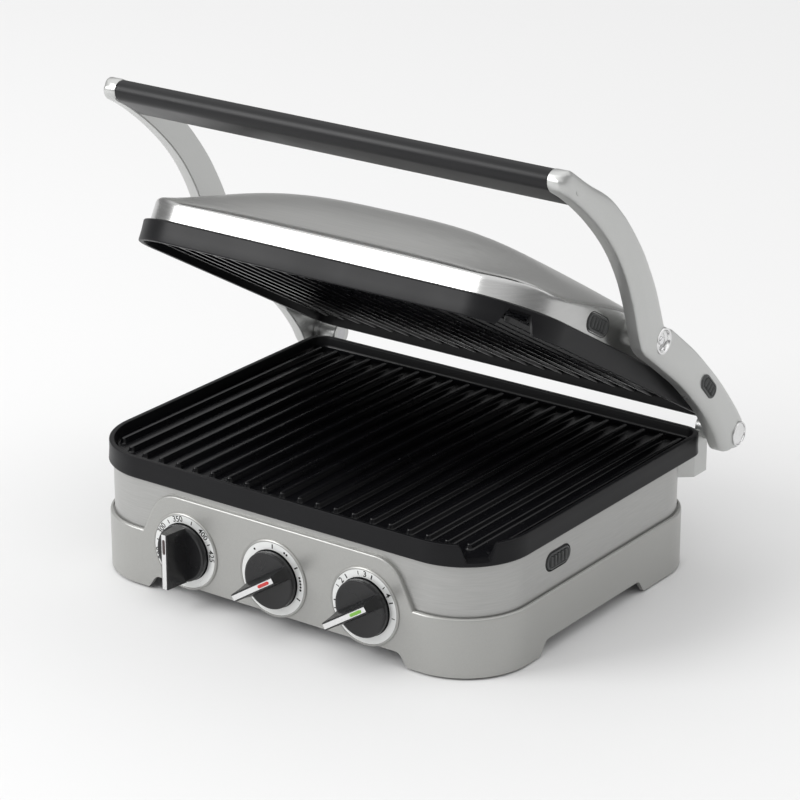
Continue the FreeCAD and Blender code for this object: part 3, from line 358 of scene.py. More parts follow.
M = {
    "roof": brushed("lid_roof_brushed", (0.50, 0.50, 0.49), 0.36, (0.03, 1, 1), 900.0, 0.05, 0.00002),
    # the band is the roof's steel made smoother, and its colour a little lighter than the roof's as painted
    # highlight for the brightly lit front band
    "band": brushed("lid_band_polished_painted_highlight", (0.52, 0.52, 0.515), 0.23, (0.05, 0.05, 1), 900.0, 0.03, 0.000004),
    "shell": brushed("base_shell_brushed", (0.42, 0.42, 0.41), 0.34, (0.04, 0.04, 1), 1500.0, 0.03, 0.000004,
                     metallic=0.55),
    "paint": satin_paint("satin_silver_paint", (0.42, 0.42, 0.405), 0.36, 0.55),
    "arm": satin_paint("arm_satin_silver", (0.55, 0.555, 0.545), 0.31, 0.7, 0.03),
    "coating": moulded("nonstick_coating", (0.005, 0.005, 0.006), 0.27, 0.00002, 1400.0, 0.05, 0.32),
    "rim": moulded("nonstick_rim", (0.008, 0.008, 0.009), 0.36, 0.00003, 1400.0, 0.05, 0.18),
    "chrome": brushed("bright_metal", (0.78, 0.78, 0.78), 0.14, (1, 1, 1), 500.0, 0.04, 0.000004),
    "steel": brushed("plain_steel", (0.50, 0.50, 0.51), 0.34, (1, 0.2, 1), 400.0, 0.08, 0.00001),
    "sheet": brushed("reflector_sheet", (0.72, 0.72, 0.72), 0.24, (0.1, 1, 1), 400.0, 0.06, 0.00001),
    "grip": moulded("grip_black", (0.010, 0.010, 0.011), 0.38, 0.00002, 1200.0, 0.04, 0.28),
    "knob": moulded("dial_black", (0.010, 0.010, 0.011), 0.28, 0.00001, 1200.0, 0.04, 0.5),
    "button": moulded("button_grey", (0.045, 0.047, 0.047), 0.40, 0.00002, 1200.0, 0.05, 0.5),
    "gasket": moulded("button_surround", (0.006, 0.006, 0.006), 0.45),
    "inlay": satin_paint("inlay_silver", (0.80, 0.80, 0.80), 0.24, 0.7, 0.02),
    "scale": satin_paint("dial_scale", (0.84, 0.85, 0.84), 0.30, 0.35, 0.02),
    "ink": moulded("dial_ink", (0.006, 0.006, 0.006), 0.6, specular=0.2),
    "rubber": moulded("foot_rubber", (0.018, 0.018, 0.018), 0.8, 0.00006, 700.0),
    "ceramic": moulded("ceramic_body", (0.62, 0.58, 0.48), 0.6),
    "frame": moulded("cover_frame_moulding", (0.020, 0.020, 0.021), 0.5),
    "lens_off": lens("lens_dark", (0.03, 0.01, 0.01), 0.0),
    "lens_red": lens("lens_red", (0.45, 0.012, 0.01), 0.18),
    "lens_green": lens("lens_green", (0.15, 0.36, 0.03), 0.18),
}

NODE_LOOKS = {
    "shell": ["base_upper_shell"],
    "paint": ["base_skirt", "griddle_ring", "selector_ring", "grill_ring"],
    "arm": ["hinge_bracket_left", "hinge_bracket_right", "grip_plugs", "arm_left", "arm_right"],
    "steel": ["bottom_cover", "cover_screws", "cover_posts", "lower_heater", "upper_heater",
              "lower_heater_clips", "upper_heater_clips", "thermal_fuse", "griddle_thermostat",
              "grill_thermostat", "bracket_bolts",
              "hinge_pins", "griddle_shaft", "selector_shaft", "grill_shaft", "grip_core", "grip_bolts",
              "lid_screws", "pivot_springs", "base_latch", "lid_latch", "hinge_lock"],
    "sheet": ["lower_reflector", "upper_reflector"],
    "rubber": ["foot_pads"],
    "gasket": ["cord_gland"],
    "ceramic": ["terminal_block", "selector_switch"],
    "chrome": ["hinge_washers"],
    "frame": ["lid_frame"],
}
for look, names in NODE_LOOKS.items():
    for name in names:
        for material_slot in frame["nodes"][name].material_slots:
            material_slot.material = M[look]
for name in ("hinge_bracket_left", "hinge_bracket_right"):
    soften = frame["nodes"][name].modifiers.new("soften", "BEVEL")
    soften.width, soften.segments = 0.9 * MM, 3
    soften.limit_method, soften.angle_limit = "ANGLE", math.radians(40)


# ---------------------------------------------------------------- cooking plates
def spout_cap(x, y, z):
    """The height left by the pouring notch at the front right corner."""
    cx, cy = PLATE_W / 2 - PLATE_R_FRONT, PLATE_R_FRONT - PLATE_D / 2
    dx, dy = x - cx, y - cy
    out = (dx - dy) / math.sqrt(2)
    across = abs(dx + dy) / math.sqrt(2)
    if out < PLATE_R_FRONT - 16 or across > 12.5:
        return z
    floor = RIM_TOP - 11.4 + 0.30 * max(0.0, PLATE_R_FRONT - out)
    wall = floor + max(0.0, across - 7.0) * 2.4
    return min(z, wall)


def cooking_plate():
    """Rim, pan floor, ribs and underside of one plate, with the pan facing up."""
    outline = rounded_rect(PLATE_W, PLATE_D, PLATE_R_FRONT, PLATE_R_REAR, arc=72, step=8.0)
    recess = RIM_BOTTOM + 3.2
    under = [(14.0, recess + 1), (12.2, RIM_BOTTOM + 0.6), (11.4, RIM_BOTTOM), (1.2, RIM_BOTTOM),
             (0.5, RIM_BOTTOM + 0.25), (0.1, RIM_BOTTOM + 0.9)]
    side = [(0.35, RIM_BOTTOM + 4.0), (0.6, RIM_BOTTOM + 8.0), (0.6, RIM_TOP - 0.9)]
    top = [(0.75, RIM_TOP - 0.35), (1.2, RIM_TOP), (3.2, RIM_TOP),
           (3.8, RIM_TOP - 0.3), (4.1, RIM_TOP - 1.0)]
    wall = [(4.5, PAN_Z + 2.4), (4.9, PAN_Z + 1.2), (5.8, PAN_Z + 0.35), (7.2, PAN_Z)]
    beyond = [(9.0, PAN_Z), (13.0, PAN_Z)]
    build = Build()
    rings = []
    for inset, z in under + side + top + wall + beyond:
        ring = inset_ring(outline, inset, z)
        if z > RIM_BOTTOM + 3:
            ring = [(x, y, spout_cap(x, y, h)) for x, y, h in ring]
        rings.append(ring)
    rim_count = len(under) + len(side) + len(top) + 1
    made = [build.ring(r) for r in rings]
    for n, (a, b) in enumerate(zip(made, made[1:])):
        build.bridge(a, b, 1 if n < rim_count else 0)
    build.cap(made[-1], 0)
    build.cap(made[0], 1, flip=True)
    for k in range(RIB_COUNT):
        build.add(rib((k - (RIB_COUNT - 1) / 2) * RIB_PITCH))
    return build


def rib(x):
    """One rib with rounded ends and crest. Towards the sides its front end follows the corner."""
    straight = PLATE_W / 2 - PLATE_R_FRONT
    reach = max(0.0, abs(x) - straight) / (PLATE_R_FRONT - 4)
    setback = 0.62 * PLATE_R_FRONT * (1 - math.sqrt(max(0.0, 1 - reach ** 2)))
    front = -(PLATE_D / 2 - 16.0) + setback
    back = PLATE_D / 2 - 11.0
    middle, length = (front + back) / 2, back - front
    build = Build()
    profile = [(-0.7, -0.1), (-0.1, 0.25), (0.25, 0.9), (0.75, 2.5), (0.95, 3.1), (1.3, 3.42), (1.75, 3.5)]
    outline = stadium(length, 5.0, 10)
    rings = [[(x - (v - nv * inset), middle + (u - nu * inset), PAN_Z + h) for u, v, nu, nv in outline]
             for inset, h in profile]
    made = build.loft(rings)
    build.cap(made[-1])
    return build


PLATE_LOOKS = [M["coating"], M["rim"]]
lower = cooking_plate()
piece("lower_plate_cast", lower, "lower_plate_body", PLATE_LOOKS)
upper = cooking_plate().moved(lambda v: Vector((v.x, v.y, 2 * RIM_TOP + CLOSED_GAP - v.z))).flipped()
piece("upper_plate_cast", upper, "upper_plate_body", PLATE_LOOKS, place=place_cover)
for name, obj in (("lower_plate", "lower_plate_cast"), ("upper_plate", "upper_plate_cast")):
    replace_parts(bpy.data.objects[obj], name)


# ---------------------------------------------------------------- cover
def dome_height(x, y):
    """Height of the cover's roof: a dome, with side edges that rise over the pivots."""
    span = LID_D / 2 + 1.5
    half = span + CROWN_Y if y < CROWN_Y else span - CROWN_Y
    arch = 1 - min(1.0, abs((y - CROWN_Y) / half)) ** 1.7
    reach = (y - LID_PIVOT_Y) / (span - LID_PIVOT_Y - 2)
    side = SIDE_ARCH_H * math.cos(math.pi / 2 * reach) ** 2 if abs(reach) < 1 else 0.0
    across = 1 - min(1.0, abs(x / (LID_W / 2))) ** 3
    return LID_Z + LID_CREASE + side + (DOME_H * arch - side) * across


def lid_cover():
    """The polished band, coloured a little lighter than the roof as painted highlight, the rounded crease
    and the domed roof.
    """
    outline = rounded_rect(LID_W, LID_D, LID_R, arc=36, step=4.0)
    base = LID_Z + PLATE_H + 0.2
    build = Build()
    band = [inset_ring(outline, inset, base + rise) for inset, rise in ((2.0, 0.2), (0.5, 0.0), (0.0, 0.5))]
    steps = 6
    edge = inset_ring(outline, 0.0, dome_height)
    for i in range(1, steps + 1):
        f = i / steps
        band.append([(x, y, base + 0.5 + (z - 2.4 - base - 0.5) * f) for x, y, z in edge])
    for inset, drop in ((0.2, 1.5), (0.75, 0.75)):
        band.append([(x, y, z - drop) for x, y, z in inset_ring(outline, inset, dome_height)])
    made = build.loft(band, slot=1)
    last = made[-1]
    shoulder = build.ring([(x, y, z - 0.28) for x, y, z in inset_ring(outline, 1.5, dome_height)])
    build.bridge(last, shoulder, 0)
    last = shoulder
    rim = inset_ring(outline, 2.4, dome_height)
    factors = [1.0, 0.985, 0.96, 0.93] + [1 - 0.07 - 0.93 * k / 22 for k in range(1, 22)] + [0.02]
    for factor in factors:
        shrunk = [(x * factor, y * factor) for x, y, _ in rim]
        ring = build.ring([(x, y, dome_height(x, y)) for x, y in shrunk])
        build.bridge(last, ring, 0)
        last = ring
    build.cap(last, 0)
    return build


cover = piece("lid_dome", lid_cover(), "lid", [M["roof"], M["band"]], place=place_cover,
              sharp=24)
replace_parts(cover, "lid_shell")


def boss_profile():
    """The cover's pivot boss with its narrower spigot towards the arm."""
    out = ARM_IN - 0.6
    return [(BOSS_R, BOSS_IN), (BOSS_R, out - 2.2), (BOSS_R - 0.4, out - 1.6), (BOSS_SPIGOT_R, out - 1.5),
            (BOSS_SPIGOT_R - 0.2, out - 0.3), (BOSS_SPIGOT_R - 0.5, out), (4.2, out)]


for side in ("left", "right"):
    boss = lathe(boss_profile(), 48).moved(lambda v: v + Vector((0, LID_PIVOT_Y, LID_PIVOT_Z)))
    if side == "left":
        boss = mirrored_x(boss)
    piece("lid_boss_" + side, boss, "lid", [M["arm"]], place=place_cover)


# ---------------------------------------------------------------- buttons
def ribbed_oval(length, height, x_face, proud, depth, ribs, pitch):
    """An oval button along x, long in y, with finger ribs across its length."""
    build = Build()
    outline = stadium(length, height, 14)
    top = x_face + proud
    profile = [(0.0, x_face - depth), (0.0, top - 0.7), (0.2, top - 0.25), (0.7, top),
               (1.3, top), (1.6, top - 0.5), (1.9, top - 0.6)]
    rings = [[(x, u - nu * inset, v - nv * inset) for u, v, nu, nv in outline] for inset, x in profile]
    made = build.loft(rings)
    build.cap(made[-1])
    build.cap(made[0], flip=True)
    half = height / 2 - 2.2
    for k in range(ribs):
        centre = (k - (ribs - 1) / 2) * pitch
        bar = Build()
        sections = []
        for v in (-half, -half + 0.5, half - 0.5, half):
            lift = 0.0 if abs(v) == half else 0.45
            rise = [(-1.25, -0.7), (-0.85, lift - 0.1), (-0.3, lift + 0.25)]
            rise += [(-u, x) for u, x in reversed(rise)]
            sections.append([(top + x, centre + u, v) for u, x in rise])
        made = bar.loft(sections)
        bar.cap(made[0], flip=True)
        bar.cap(made[-1])
        build.add(bar)
    return build


def surround(length, height, x_face, grow):
    """The thin dark lip round a button's window."""
    build = Build()
    outline = stadium(length, height, 14)
    profile = [(-grow, x_face - 0.2), (-grow, x_face + 0.15), (-grow + 0.3, x_face + 0.3),
               (-0.45, x_face + 0.3), (-0.3, x_face - 0.6)]
    rings = [[(x, u - nu * inset, v - nv * inset) for u, v, nu, nv in outline] for inset, x in profile]
    build.loft(rings)
    return build


def shifted(build, x=0.0, y=0.0, z=0.0):
    return build.moved(lambda v: v + Vector((x, y, z)))


def plate_release(name, node, body, holder, x_face, y, z, place):
    """A ribbed button that replaces a CAD node, and the lip round its window."""
    build = shifted(ribbed_oval(BUTTON_L, BUTTON_H, x_face, 0.8, 6.0, 5, 3.7), 0, y, z)
    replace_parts(piece(name, build, body, [M["button"]], place=place), node)
    lip = shifted(surround(BUTTON_L, BUTTON_H, x_face, 1.0), 0, y, z)
    piece(name + "_surround", lip, holder, [M["gasket"]], place=place)


def on_arm(v):
    """From a button drawn about the origin to its place on the right arm, cover raised."""
    flat = Matrix.Rotation(ARM_SLOPE, 3, "X") @ Vector((0, v.y, v.z))
    return Vector((v.x, flat.y + RELEASE_Y, flat.z + RELEASE_Z))


plate_release("base_button", "base_release_button", "base_release", "base",
              BASE_FACE, BASE_BUTTON_Y, BASE_BUTTON_Z, place_base)
plate_release("lid_button", "lid_release_button", "lid_release", "lid",
              LID_FACE, LID_BUTTON_Y, LID_BUTTON_Z, place_cover)
arm_button = ribbed_oval(RELEASE_L, RELEASE_W, ARM_OUT, 0.6, 4.2, 4, 3.8).moved(on_arm)
arm_button = piece("arm_button", arm_button, "hinge_release_slide", [M["button"]])
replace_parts(arm_button, "hinge_release")


# ---------------------------------------------------------------- dials
def about_dial(build, x, angle):
    """Turns a Build drawn about the y axis clockwise, seen from the front, and moves it to a dial."""
    return shifted(round_dial(build, angle), x, 0, DIAL_Z)


def lathe_y(profile, segments=96, slots=None):
    """A lathe about the y axis; profile points are (radius, y)."""
    build = lathe(profile, segments, slots=slots)
    return build.moved(lambda v: Vector((v.y, v.x, v.z))).flipped()


def dial_ring(x):
    """The painted bezel, the bright scale inside it and the dark well under the knob."""
    y = FACE_Y
    back = -PLATE_D / 2 + 0.2
    profile = [(25.2, back), (25.2, y + 0.5), (24.9, y + 0.1), (24.4, y - 0.1), (23.9, y), (23.7, y + 0.25),
               (18.9, y + 0.25), (18.7, y + 0.5), (5.0, y + 0.5)]
    slots = [0, 0, 0, 0, 0, 1, 2, 2]
    build = lathe_y(profile, 96, slots)
    return shifted(build, x, 0, DIAL_Z)


def round_dial(build, angle):
    """Turns a Build clockwise about the dial's axis."""
    turn = Matrix.Rotation(math.radians(angle), 3, "Y")
    return build.moved(lambda v: turn @ v)


def tick(radius0, radius1, angle, half):
    """A printed mark on the ring at an angle clockwise from the top."""
    build = Build()
    y = FACE_Y + 0.25
    corners = [(-half, radius0), (half, radius0), (half, radius1), (-half, radius1)]
    low = build.ring([(u, y + 0.02, v) for u, v in corners])
    high = build.ring([(u, y - 0.05, v) for u, v in corners])
    build.bridge(high, low)
    build.cap(high)
    return round_dial(build, angle)


def dot(radius, angle, size):
    build = lathe_y([(size, FACE_Y + 0.27), (size, FACE_Y + 0.2)], 20)
    return round_dial(shifted(build, 0, 0, radius), angle)


def number(text, angle, height=3.9):
    """Digits printed round the ring, as a Build."""
    curve = bpy.data.curves.new("digits", "FONT")
    curve.body = text
    curve.size = height * 1.38
    curve.align_x, curve.align_y = "CENTER", "CENTER"
    curve.offset = 0.06
    curve.resolution_u = 3
    holder = bpy.data.objects.new("digits", curve)
    bpy.context.scene.collection.objects.link(holder)
    bpy.context.view_layer.update()
    mesh = bpy.data.meshes.new_from_object(holder)
    build = Build()
    build.ring([(v.co.x, FACE_Y + 0.19, v.co.y + 21.2) for v in mesh.vertices])
    for polygon in mesh.polygons:
        build.face(polygon.vertices)
    bpy.data.objects.remove(holder)
    return round_dial(build, angle)


def scale_marks(kind):
    """Ticks, numbers and dots of one dial, printed in place of its words."""
    build = Build()
    if kind == "griddle":
        for label, angle in (("425", 84), ("400", 44), ("350", -14), ("300", -58), ("200", -106)):
            build.add(number(label, angle))
        for angle in (64, 16, -36, -82, -130):
            build.add(tick(19.9, 22.5, angle, 0.32))
    elif kind == "selector":
        for angle in (0, 57, 114):
            build.add(tick(19.9, 22.7, angle, 0.42))
        for angle, count in ((85, 5), (28, 2), (-40, 1)):
            for k in range(count):
                build.add(dot(21.3, angle + (k - (count - 1) / 2) * 5.4, 0.75))
    else:
        for k in range(9):
            angle = -120 + 27.0 * k
            build.add(tick(19.8 if k % 2 else 20.4, 22.7, angle, 0.40 if k % 2 else 0.26))
        for k in range(4):
            build.add(number(str(k + 1), -106.5 + 54.0 * k))
    return build


def knob_skirt():
    """The knob's round base with softened edges."""
    y = FACE_Y
    profile = [(17.6, y - 0.45), (18.2, y - 0.5), (18.4, y - 0.9), (18.4, y - 3.6), (18.15, y - 4.2),
               (17.6, y - 4.5), (16.6, y - 4.5), (15.6, y - 4.3), (3.0, y - 4.25)]
    return lathe_y(profile, 96)


def knob_blade():
    """The finger blade across the knob, its ends cut square, its sides drawn in towards the top."""
    build = Build()
    low, high = FACE_Y - 4.0, BLADE_TOP_Y
    section = [(4.5, low), (4.1, low - 2.0), (3.3, low - 7.0), (2.65, high + 1.2),
               (2.5, high + 0.5), (2.1, high + 0.1), (1.75, high)]
    full = section + [(-u, y) for u, y in reversed(section)]
    sections = []
    for v in (-BLADE_HALF, -BLADE_HALF + 0.4, -9.0, 0.0, 9.0, BLADE_HALF - 0.4, BLADE_HALF):
        squeeze = 0.96 if abs(v) == BLADE_HALF else 1.0
        sections.append([(u * squeeze, y, v) for u, y in full])
    made = build.loft(sections)
    build.cap(made[0], flip=True)
    build.cap(made[-1])
    return build


def knob_strip():
    """The silver foil along the top of the blade."""
    build = Build()
    y = BLADE_TOP_Y
    section = [(-1.75, y + 0.3), (-1.6, y - 0.02), (1.6, y - 0.02), (1.75, y + 0.3)]
    made = build.loft([[(u, w, v) for u, w in section] for v in (-18.2, -17.9, 17.9, 18.2)])
    build.cap(made[0], flip=True)
    build.cap(made[-1])
    return build


def knob_lens(low=5.0):
    """The small oval window in the strip, low being its inner end's distance from the dial's axis."""
    build = Build()
    y = BLADE_TOP_Y
    outline = stadium(10.0, 2.1, 8)
    profile = [(0.0, y + 0.3), (0.0, y - 0.10), (0.2, y - 0.22), (0.55, y - 0.28)]
    rings = [[(v - nv * inset, py, u - nu * inset + low + 5.0) for u, v, nu, nv in outline]
             for inset, py in profile]
    made = build.loft(rings)
    build.cap(made[-1])
    return build


TURNS = {
    "griddle": (-DIAL_X, 0.0, "lens_off"),
    "selector": (0.0, 57.0, "lens_red"),
    "grill": (DIAL_X, 57.0, "lens_green"),
}
for kind, (x, angle, glow) in TURNS.items():
    body = kind + "_dial"
    ring_looks = [M["paint"], M["scale"], M["knob"]]
    ring = piece(kind + "_dial_ring", dial_ring(x), "base", ring_looks)
    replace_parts(ring, kind + "_ring")
    piece(kind + "_dial_marks", shifted(scale_marks(kind), x, 0, DIAL_Z), "base", [M["ink"]])
    knob_build = knob_skirt().add(knob_blade())
    knob = piece(kind + "_dial_knob", about_dial(knob_build, x, angle), body, [M["knob"]])
    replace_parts(knob, kind + "_knob")
    strip_build = about_dial(knob_strip(), x, angle)
    strip = piece(kind + "_dial_strip", strip_build, body, [M["inlay"]])
    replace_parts(strip, kind + "_inlay")
    light = piece(kind + "_dial_lens", about_dial(knob_lens(), x, angle), body, [M[glow]])
    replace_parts(light, kind + "_lens")


# ---------------------------------------------------------------- handle, pivots and hinge ends
def along_x(profile, y, z, mirror=False, segments=64, slots=None):
    build = shifted(lathe(profile, segments, slots=slots), 0, y, z)
    return mirrored_x(build) if mirror else build


# The handle and the arms are drawn with the cover raised, as (y, height above the plate's rim).
NOSE, TAIL = Vector((-66.4, 213.6)), Vector((-47.3, 200.9))   # centres of the oval handle's round edges
GRIP_HALF = 6.7


def grip_build():
    """An oval bar with softly rounded ends, a shallow seam where each end meets its arm."""
    span = TAIL - NOSE
    lean = math.atan2(span.y, span.x)
    middle = (NOSE + TAIL) / 2
    outline = stadium(span.length + 2 * GRIP_HALF, 2 * GRIP_HALF, 16)
    half = ARM_IN - 0.05
    ends = [(half, 1.0), (half, 0.35), (half - 0.35, 0.08), (half - 1.1, 0.0)]
    sections = [(-x, inset) for x, inset in ends] + [(0.0, 0.0)]
    sections += [(x, inset) for x, inset in reversed(ends)]
    build = Build()
    rings = []
    for x, inset in sections:
        ring = []
        for u, v, nu, nv in outline:
            flat = Vector((u - nu * inset, v - nv * inset))
            flat.rotate(Matrix.Rotation(lean, 2))
            ring.append((x, middle.x + flat.x, middle.y + flat.y + RIM_TOP))
        rings.append(ring)
    made = build.loft(rings)
    build.cap(made[0], flip=True)
    build.cap(made[-1])
    return build


grip = piece("grip_sleeve", grip_build(), "arms", [M["grip"]])
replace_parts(grip, "grip")

PIVOT_Y, PIVOT_Z = PIVOT.y - SHIFT_Y, PIVOT.z
HINGE_Y, HINGE_Z = HINGE.y - SHIFT_Y, HINGE.z
# profiles of the discs as (radius, distance outside the arm's face)
COLLAR = [(8.2, -2.6), (8.3, -0.2), (8.1, 0.22), (7.6, 0.3), (7.1, 0.2),
          (6.8, -0.3), (6.4, -1.8), (5.6, -2.5), (4.4, -2.7), (2.4, -2.7)]
HEAD = [(2.6, -2.8), (2.6, -1.9), (2.3, -1.5), (1.5, -1.25), (0.1, -1.2)]
HINGE_DISC = [(7.7, -1.6), (7.8, 0.2), (7.6, 0.38), (7.2, 0.38), (6.9, 0.15),
              (6.7, -0.45), (6.3, -0.6), (0.2, -0.6)]


def disc(name, tag, profile, y, z, segments=64):
    """A bright turned part set in the outer face of the arm on one side."""
    build = along_x([(radius, ARM_OUT + out) for radius, out in profile], y, z, tag == "left", segments)
    piece(name + tag, build, "arms", [M["chrome"]])


for tag in ("right", "left"):
    disc("pivot_collar_", tag, COLLAR, PIVOT_Y, PIVOT_Z)
    disc("pivot_head_", tag, HEAD, PIVOT_Y, PIVOT_Z, 32)
    disc("hinge_disc_", tag, HINGE_DISC, HINGE_Y, HINGE_Z)
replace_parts(bpy.data.objects["pivot_collar_right"], "pivot_collars")
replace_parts(bpy.data.objects["hinge_disc_right"], "hinge_caps")


# ---------------------------------------------------------------- arms
def smooth_curve(points, per=8):
    """Points of a centripetal Catmull-Rom curve through (y, z) points."""
    padded = [2 * points[0] - points[1]] + points + [2 * points[-1] - points[-2]]
    out = []
    for a, b, c, d in zip(padded, padded[1:], padded[2:], padded[3:]):
        t1 = max((b - a).length ** 0.5, 1e-6)
        t2 = t1 + max((c - b).length ** 0.5, 1e-6)
        t3 = t2 + max((d - c).length ** 0.5, 1e-6)
        for k in range(per):
            t = t1 + (t2 - t1) * k / per
            ab = a + (b - a) * (t / t1)
            bc = b + (c - b) * ((t - t1) / (t2 - t1))
            cd = c + (d - c) * ((t - t2) / (t3 - t2))
            abc = ab + (bc - ab) * (t / t2)
            bcd = bc + (cd - bc) * ((t - t1) / (t3 - t1))
            out.append(abc + (bcd - abc) * ((t - t1) / (t2 - t1)))
    return out + [points[-1]]


def along(curve, count):
    """Evenly spaced points on a polyline."""
    lengths = [0.0]
    for a, b in zip(curve, curve[1:]):
        lengths.append(lengths[-1] + (b - a).length)
    out, k = [], 0
    for i in range(count):
        target = lengths[-1] * i / (count - 1)
        while k < len(curve) - 2 and lengths[k + 1] < target:
            k += 1
        f = (target - lengths[k]) / max(lengths[k + 1] - lengths[k], 1e-9)
        out.append(curve[k] + (curve[k + 1] - curve[k]) * min(1.0, f))
    return out


END_R = GRIP_HALF + 0.4


def end_arc(start, stop, steps=8):
    angles = [math.radians(start + (stop - start) * k / steps) for k in range(steps + 1)]
    return [Vector((NOSE.x + END_R * math.cos(t), NOSE.y + END_R * math.sin(t))) for t in angles]


def points2(*pairs):
    return [Vector(p) for p in pairs]


# front and rear edge of the arm above and below the pivot
ARM_SIDES = [
    (end_arc(146, 234) + points2((-61.0, 202.0), (-48.2, 192.6), (-35.6, 182.1), (-20.5, 167.3),
                                 (-8.8, 153.1), (2.3, 135.2), (8.2, 122.3), (12.6, 110.8), (16.8, 97.5),
                                 (20.6, 87.2)),
     end_arc(146, 57) + points2((-43.4, 206.9), (-28.0, 198.0), (-19.2, 192.0), (-8.4, 182.2), (0.9, 172.3),
                                (12.5, 157.6), (19.2, 147.9), (29.9, 129.0), (35.0, 118.0), (38.8, 108.2),
                                (43.0, 97.0))),
    (points2((20.6, 87.2), (23.6, 83.3), (28.6, 79.2), (36.0, 74.0), (51.5, 62.4), (68.6, 49.3),
             (83.5, 35.8), (97.6, 21.7), (110.8, 4.7), (118.6, -8.6), (123.3, -11.6), (128.0, -12.8),
             (133.0, -13.3)),
     points2((43.0, 97.0), (46.4, 94.6), (54.2, 90.6), (64.2, 83.2), (82.8, 68.6), (98.2, 54.7),
             (112.2, 41.1), (124.5, 27.8), (135.4, 14.9), (140.5, 8.3), (144.8, 1.2), (146.4, -5.0),
             (144.4, -10.6), (139.6, -12.9), (133.0, -13.3))),
]
ACROSS = [0, 0.015, 0.04, 0.08, 0.13, 0.19, 0.26, 0.34, 0.43, 0.53,
          0.63, 0.72, 0.80, 0.86, 0.91, 0.95, 0.98, 1]
FRONT_CROWN, FRONT_REACH = 4.4, 9.0
REAR_CROWN, REAR_REACH = 1.4, 4.0
INNER_EASE = 0.7                       # chamfer of the inner face's edges


def edge_distance(point, outline):
    best = 1e9
    for a, b in zip(outline, outline[1:]):
        d = b - a
        t = max(0.0, min(1.0, (point - a).dot(d) / max(d.length_squared, 1e-9)))
        best = min(best, (point - a - d * t).length)
    return best


def rounding(point, edge, depth, reach):
    """How far the face has dropped at a point near a rounded edge."""
    near = 1 - min(1.0, edge_distance(point, edge) / reach)
    return depth * (1 - math.sqrt(1 - near * near))


def arm_surface(point, front, rear):
    """Height of the arm's crowned outer face. Below the pivot the face steps back a little."""
    x = ARM_OUT - rounding(point, front, FRONT_CROWN, FRONT_REACH)
    x -= rounding(point, rear, REAR_CROWN, REAR_REACH)
    to_front, to_rear = edge_distance(point, front), edge_distance(point, rear)
    balance = to_rear / (to_rear + to_front + 1e-6)
    x -= 1.3 * max(0.0, 0.62 - balance) ** 2 / 0.38
    past = ((point.x - 34.0) * 9 - (point.y - 80.5) * 20) / 21.9
    step = max(0.0, min(1.0, (past + 1.2) / 2.6))
    return x - 0.5 * step * step * (3 - 2 * step)


def arm_build():
    """The right arm: closed rings from the handle down to the toe."""
    stations = []
    for (front, rear), count in zip(ARM_SIDES, (96, 72)):
        pairs = list(zip(along(smooth_curve(front), count), along(smooth_curve(rear), count)))
        stations += pairs if not stations else pairs[1:]
    front_edge, rear_edge = [a for a, _ in stations], [b for _, b in stations]
    stations = [s for s in stations if (s[0] - s[1]).length > 0.4]
    build, rings = Build(), []
    for front, rear in stations:
        ring = []
        for f in ACROSS:
            p = front + (rear - front) * f
            ring.append((arm_surface(p, front_edge, rear_edge), p.x, p.y + RIM_TOP))
        across = (rear - front).normalized()
        ease = INNER_EASE
        for x, p in ((ARM_IN + ease, rear), (ARM_IN, rear - across * ease),
                     (ARM_IN, front + across * ease), (ARM_IN + ease, front)):
            ring.append((x, p.x, p.y + RIM_TOP))
        rings.append(ring)
    made = build.loft(rings)
    build.cap(made[0], flip=True)
    build.cap(made[-1])
    return build


def cut_pockets(obj, side):
    """Sinks the pivot's and the hinge's round pockets into an arm."""
    for radius, depth, y, z in ((8.35, 3.0, PIVOT_Y, PIVOT_Z), (7.85, 1.7, HINGE_Y, HINGE_Z)):
        build = along_x([(radius, ARM_OUT - depth), (radius, ARM_OUT + 2)], y, z, side == "left", 96)
        mesh = bpy.data.meshes.new("pocket")
        mesh.from_pydata([place_base(v) for v in build.verts], [], build.faces)
        bm = bmesh.new()
        bm.from_mesh(mesh)
        bmesh.ops.recalc_face_normals(bm, faces=bm.faces)
        bm.to_mesh(mesh)
        bm.free()
        cutter = bpy.data.objects.new("pocket", mesh)
        bpy.context.scene.collection.objects.link(cutter)
        cut = obj.modifiers.new("pocket", "BOOLEAN")
        cut.operation, cut.solver, cut.object = "DIFFERENCE", "EXACT", cutter
        bpy.context.view_layer.update()
        made = bpy.data.meshes.new_from_object(obj.evaluated_get(bpy.context.evaluated_depsgraph_get()))
        obj.modifiers.clear()
        obj.data = made
        made.set_sharp_from_angle(angle=math.radians(40))
        bpy.data.objects.remove(cutter)


for side in ("right", "left"):
    build = arm_build() if side == "right" else mirrored_x(arm_build())
    arm = piece("arm_" + side + "_cast", build, "arms", [M["arm"]], sharp=40)
    cut_pockets(arm, side)
    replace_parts(arm, "arm_" + side)


# ---------------------------------------------------------------- floor, lights and camera
def floor():
    mesh = bpy.data.meshes.new("floor")
    size = 9.0
    corners = [(-size, -size, 0), (size, -size, 0), (size, size, 0), (-size, size, 0)]
    mesh.from_pydata(corners, [], [(0, 1, 2, 3)])
    n = Nodes("floor_white", (0.80, 0.80, 0.80), 0.0, 0.7)
    n.set(Specular_IOR_Level=0.1)
    mesh.materials.append(n.material)
    obj = bpy.data.objects.new("floor", mesh)
    bpy.context.scene.collection.objects.link(obj)


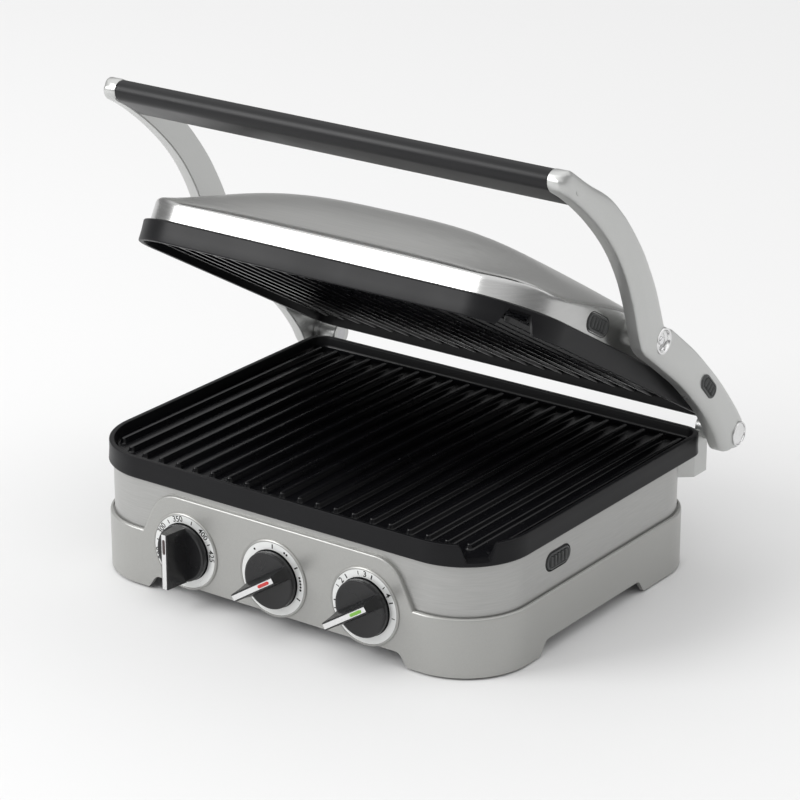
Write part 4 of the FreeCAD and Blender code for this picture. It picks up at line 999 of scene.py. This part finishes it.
def area_light(name, position, target, size, power, size_y=None):
    data = bpy.data.lights.new(name, "AREA")
    data.energy = power
    data.shape = "RECTANGLE"
    data.size, data.size_y = size, size_y or size
    obj = bpy.data.objects.new(name, data)
    obj.location = position
    obj.rotation_euler = (Vector(target) - Vector(position)).to_track_quat("-Z", "Y").to_euler()
    bpy.context.scene.collection.objects.link(obj)


def studio_world(overhead, horizon, low, high):
    """An even studio, bright overhead and dimmer towards the horizon."""
    world = bpy.data.worlds.new("studio")
    world.use_nodes = True
    tree = world.node_tree
    coords = tree.nodes.new("ShaderNodeTexCoord")
    split = tree.nodes.new("ShaderNodeSeparateXYZ")
    ramp = tree.nodes.new("ShaderNodeMapRange")
    ramp.interpolation_type = "SMOOTHSTEP"
    ramp.inputs["From Min"].default_value = math.sin(math.radians(low))
    ramp.inputs["From Max"].default_value = math.sin(math.radians(high))
    ramp.inputs["To Min"].default_value = horizon
    ramp.inputs["To Max"].default_value = overhead
    tree.links.new(coords.outputs["Generated"], split.inputs[0])
    tree.links.new(split.outputs["Z"], ramp.inputs["Value"])
    tree.links.new(ramp.outputs["Result"], tree.nodes["Background"].inputs["Strength"])
    tree.nodes["Background"].inputs["Color"].default_value = (1, 1, 1, 1)
    bpy.context.scene.world = world


floor()
studio_world(1.25, 0.30, 15, 55)
area_light("front_left", (-1.7, -2.0, 1.6), (0, 0, 0.12), 1.5, 48)
area_light("back_right", (2.0, 1.6, 1.5), (0, 0, 0.12), 1.2, 3)
bpy.context.scene.view_settings.view_transform = "Standard"

camera_data = bpy.data.cameras.new("camera")
camera_data.sensor_width = 36.0
camera_data.lens = 143.98
camera_data.clip_end = 50.0
camera = bpy.data.objects.new("camera", camera_data)
RIGHT = Vector((0.8097, 0.5869, 0.0))
UP = Vector((-0.2116, 0.2920, 0.9327))
BACK = Vector((0.5474, -0.7552, 0.3606))
RIM_CENTRE = Vector((0, SHIFT_Y, RIM_TOP))
eye = (RIM_CENTRE + 3.744 * RIGHT + 22.458 * UP + 2016.02 * BACK) * MM
turn = Matrix((RIGHT, UP, BACK)).transposed().to_4x4()
camera.matrix_world = Matrix.Translation(eye) @ turn
bpy.context.scene.collection.objects.link(camera)
bpy.context.scene.camera = camera
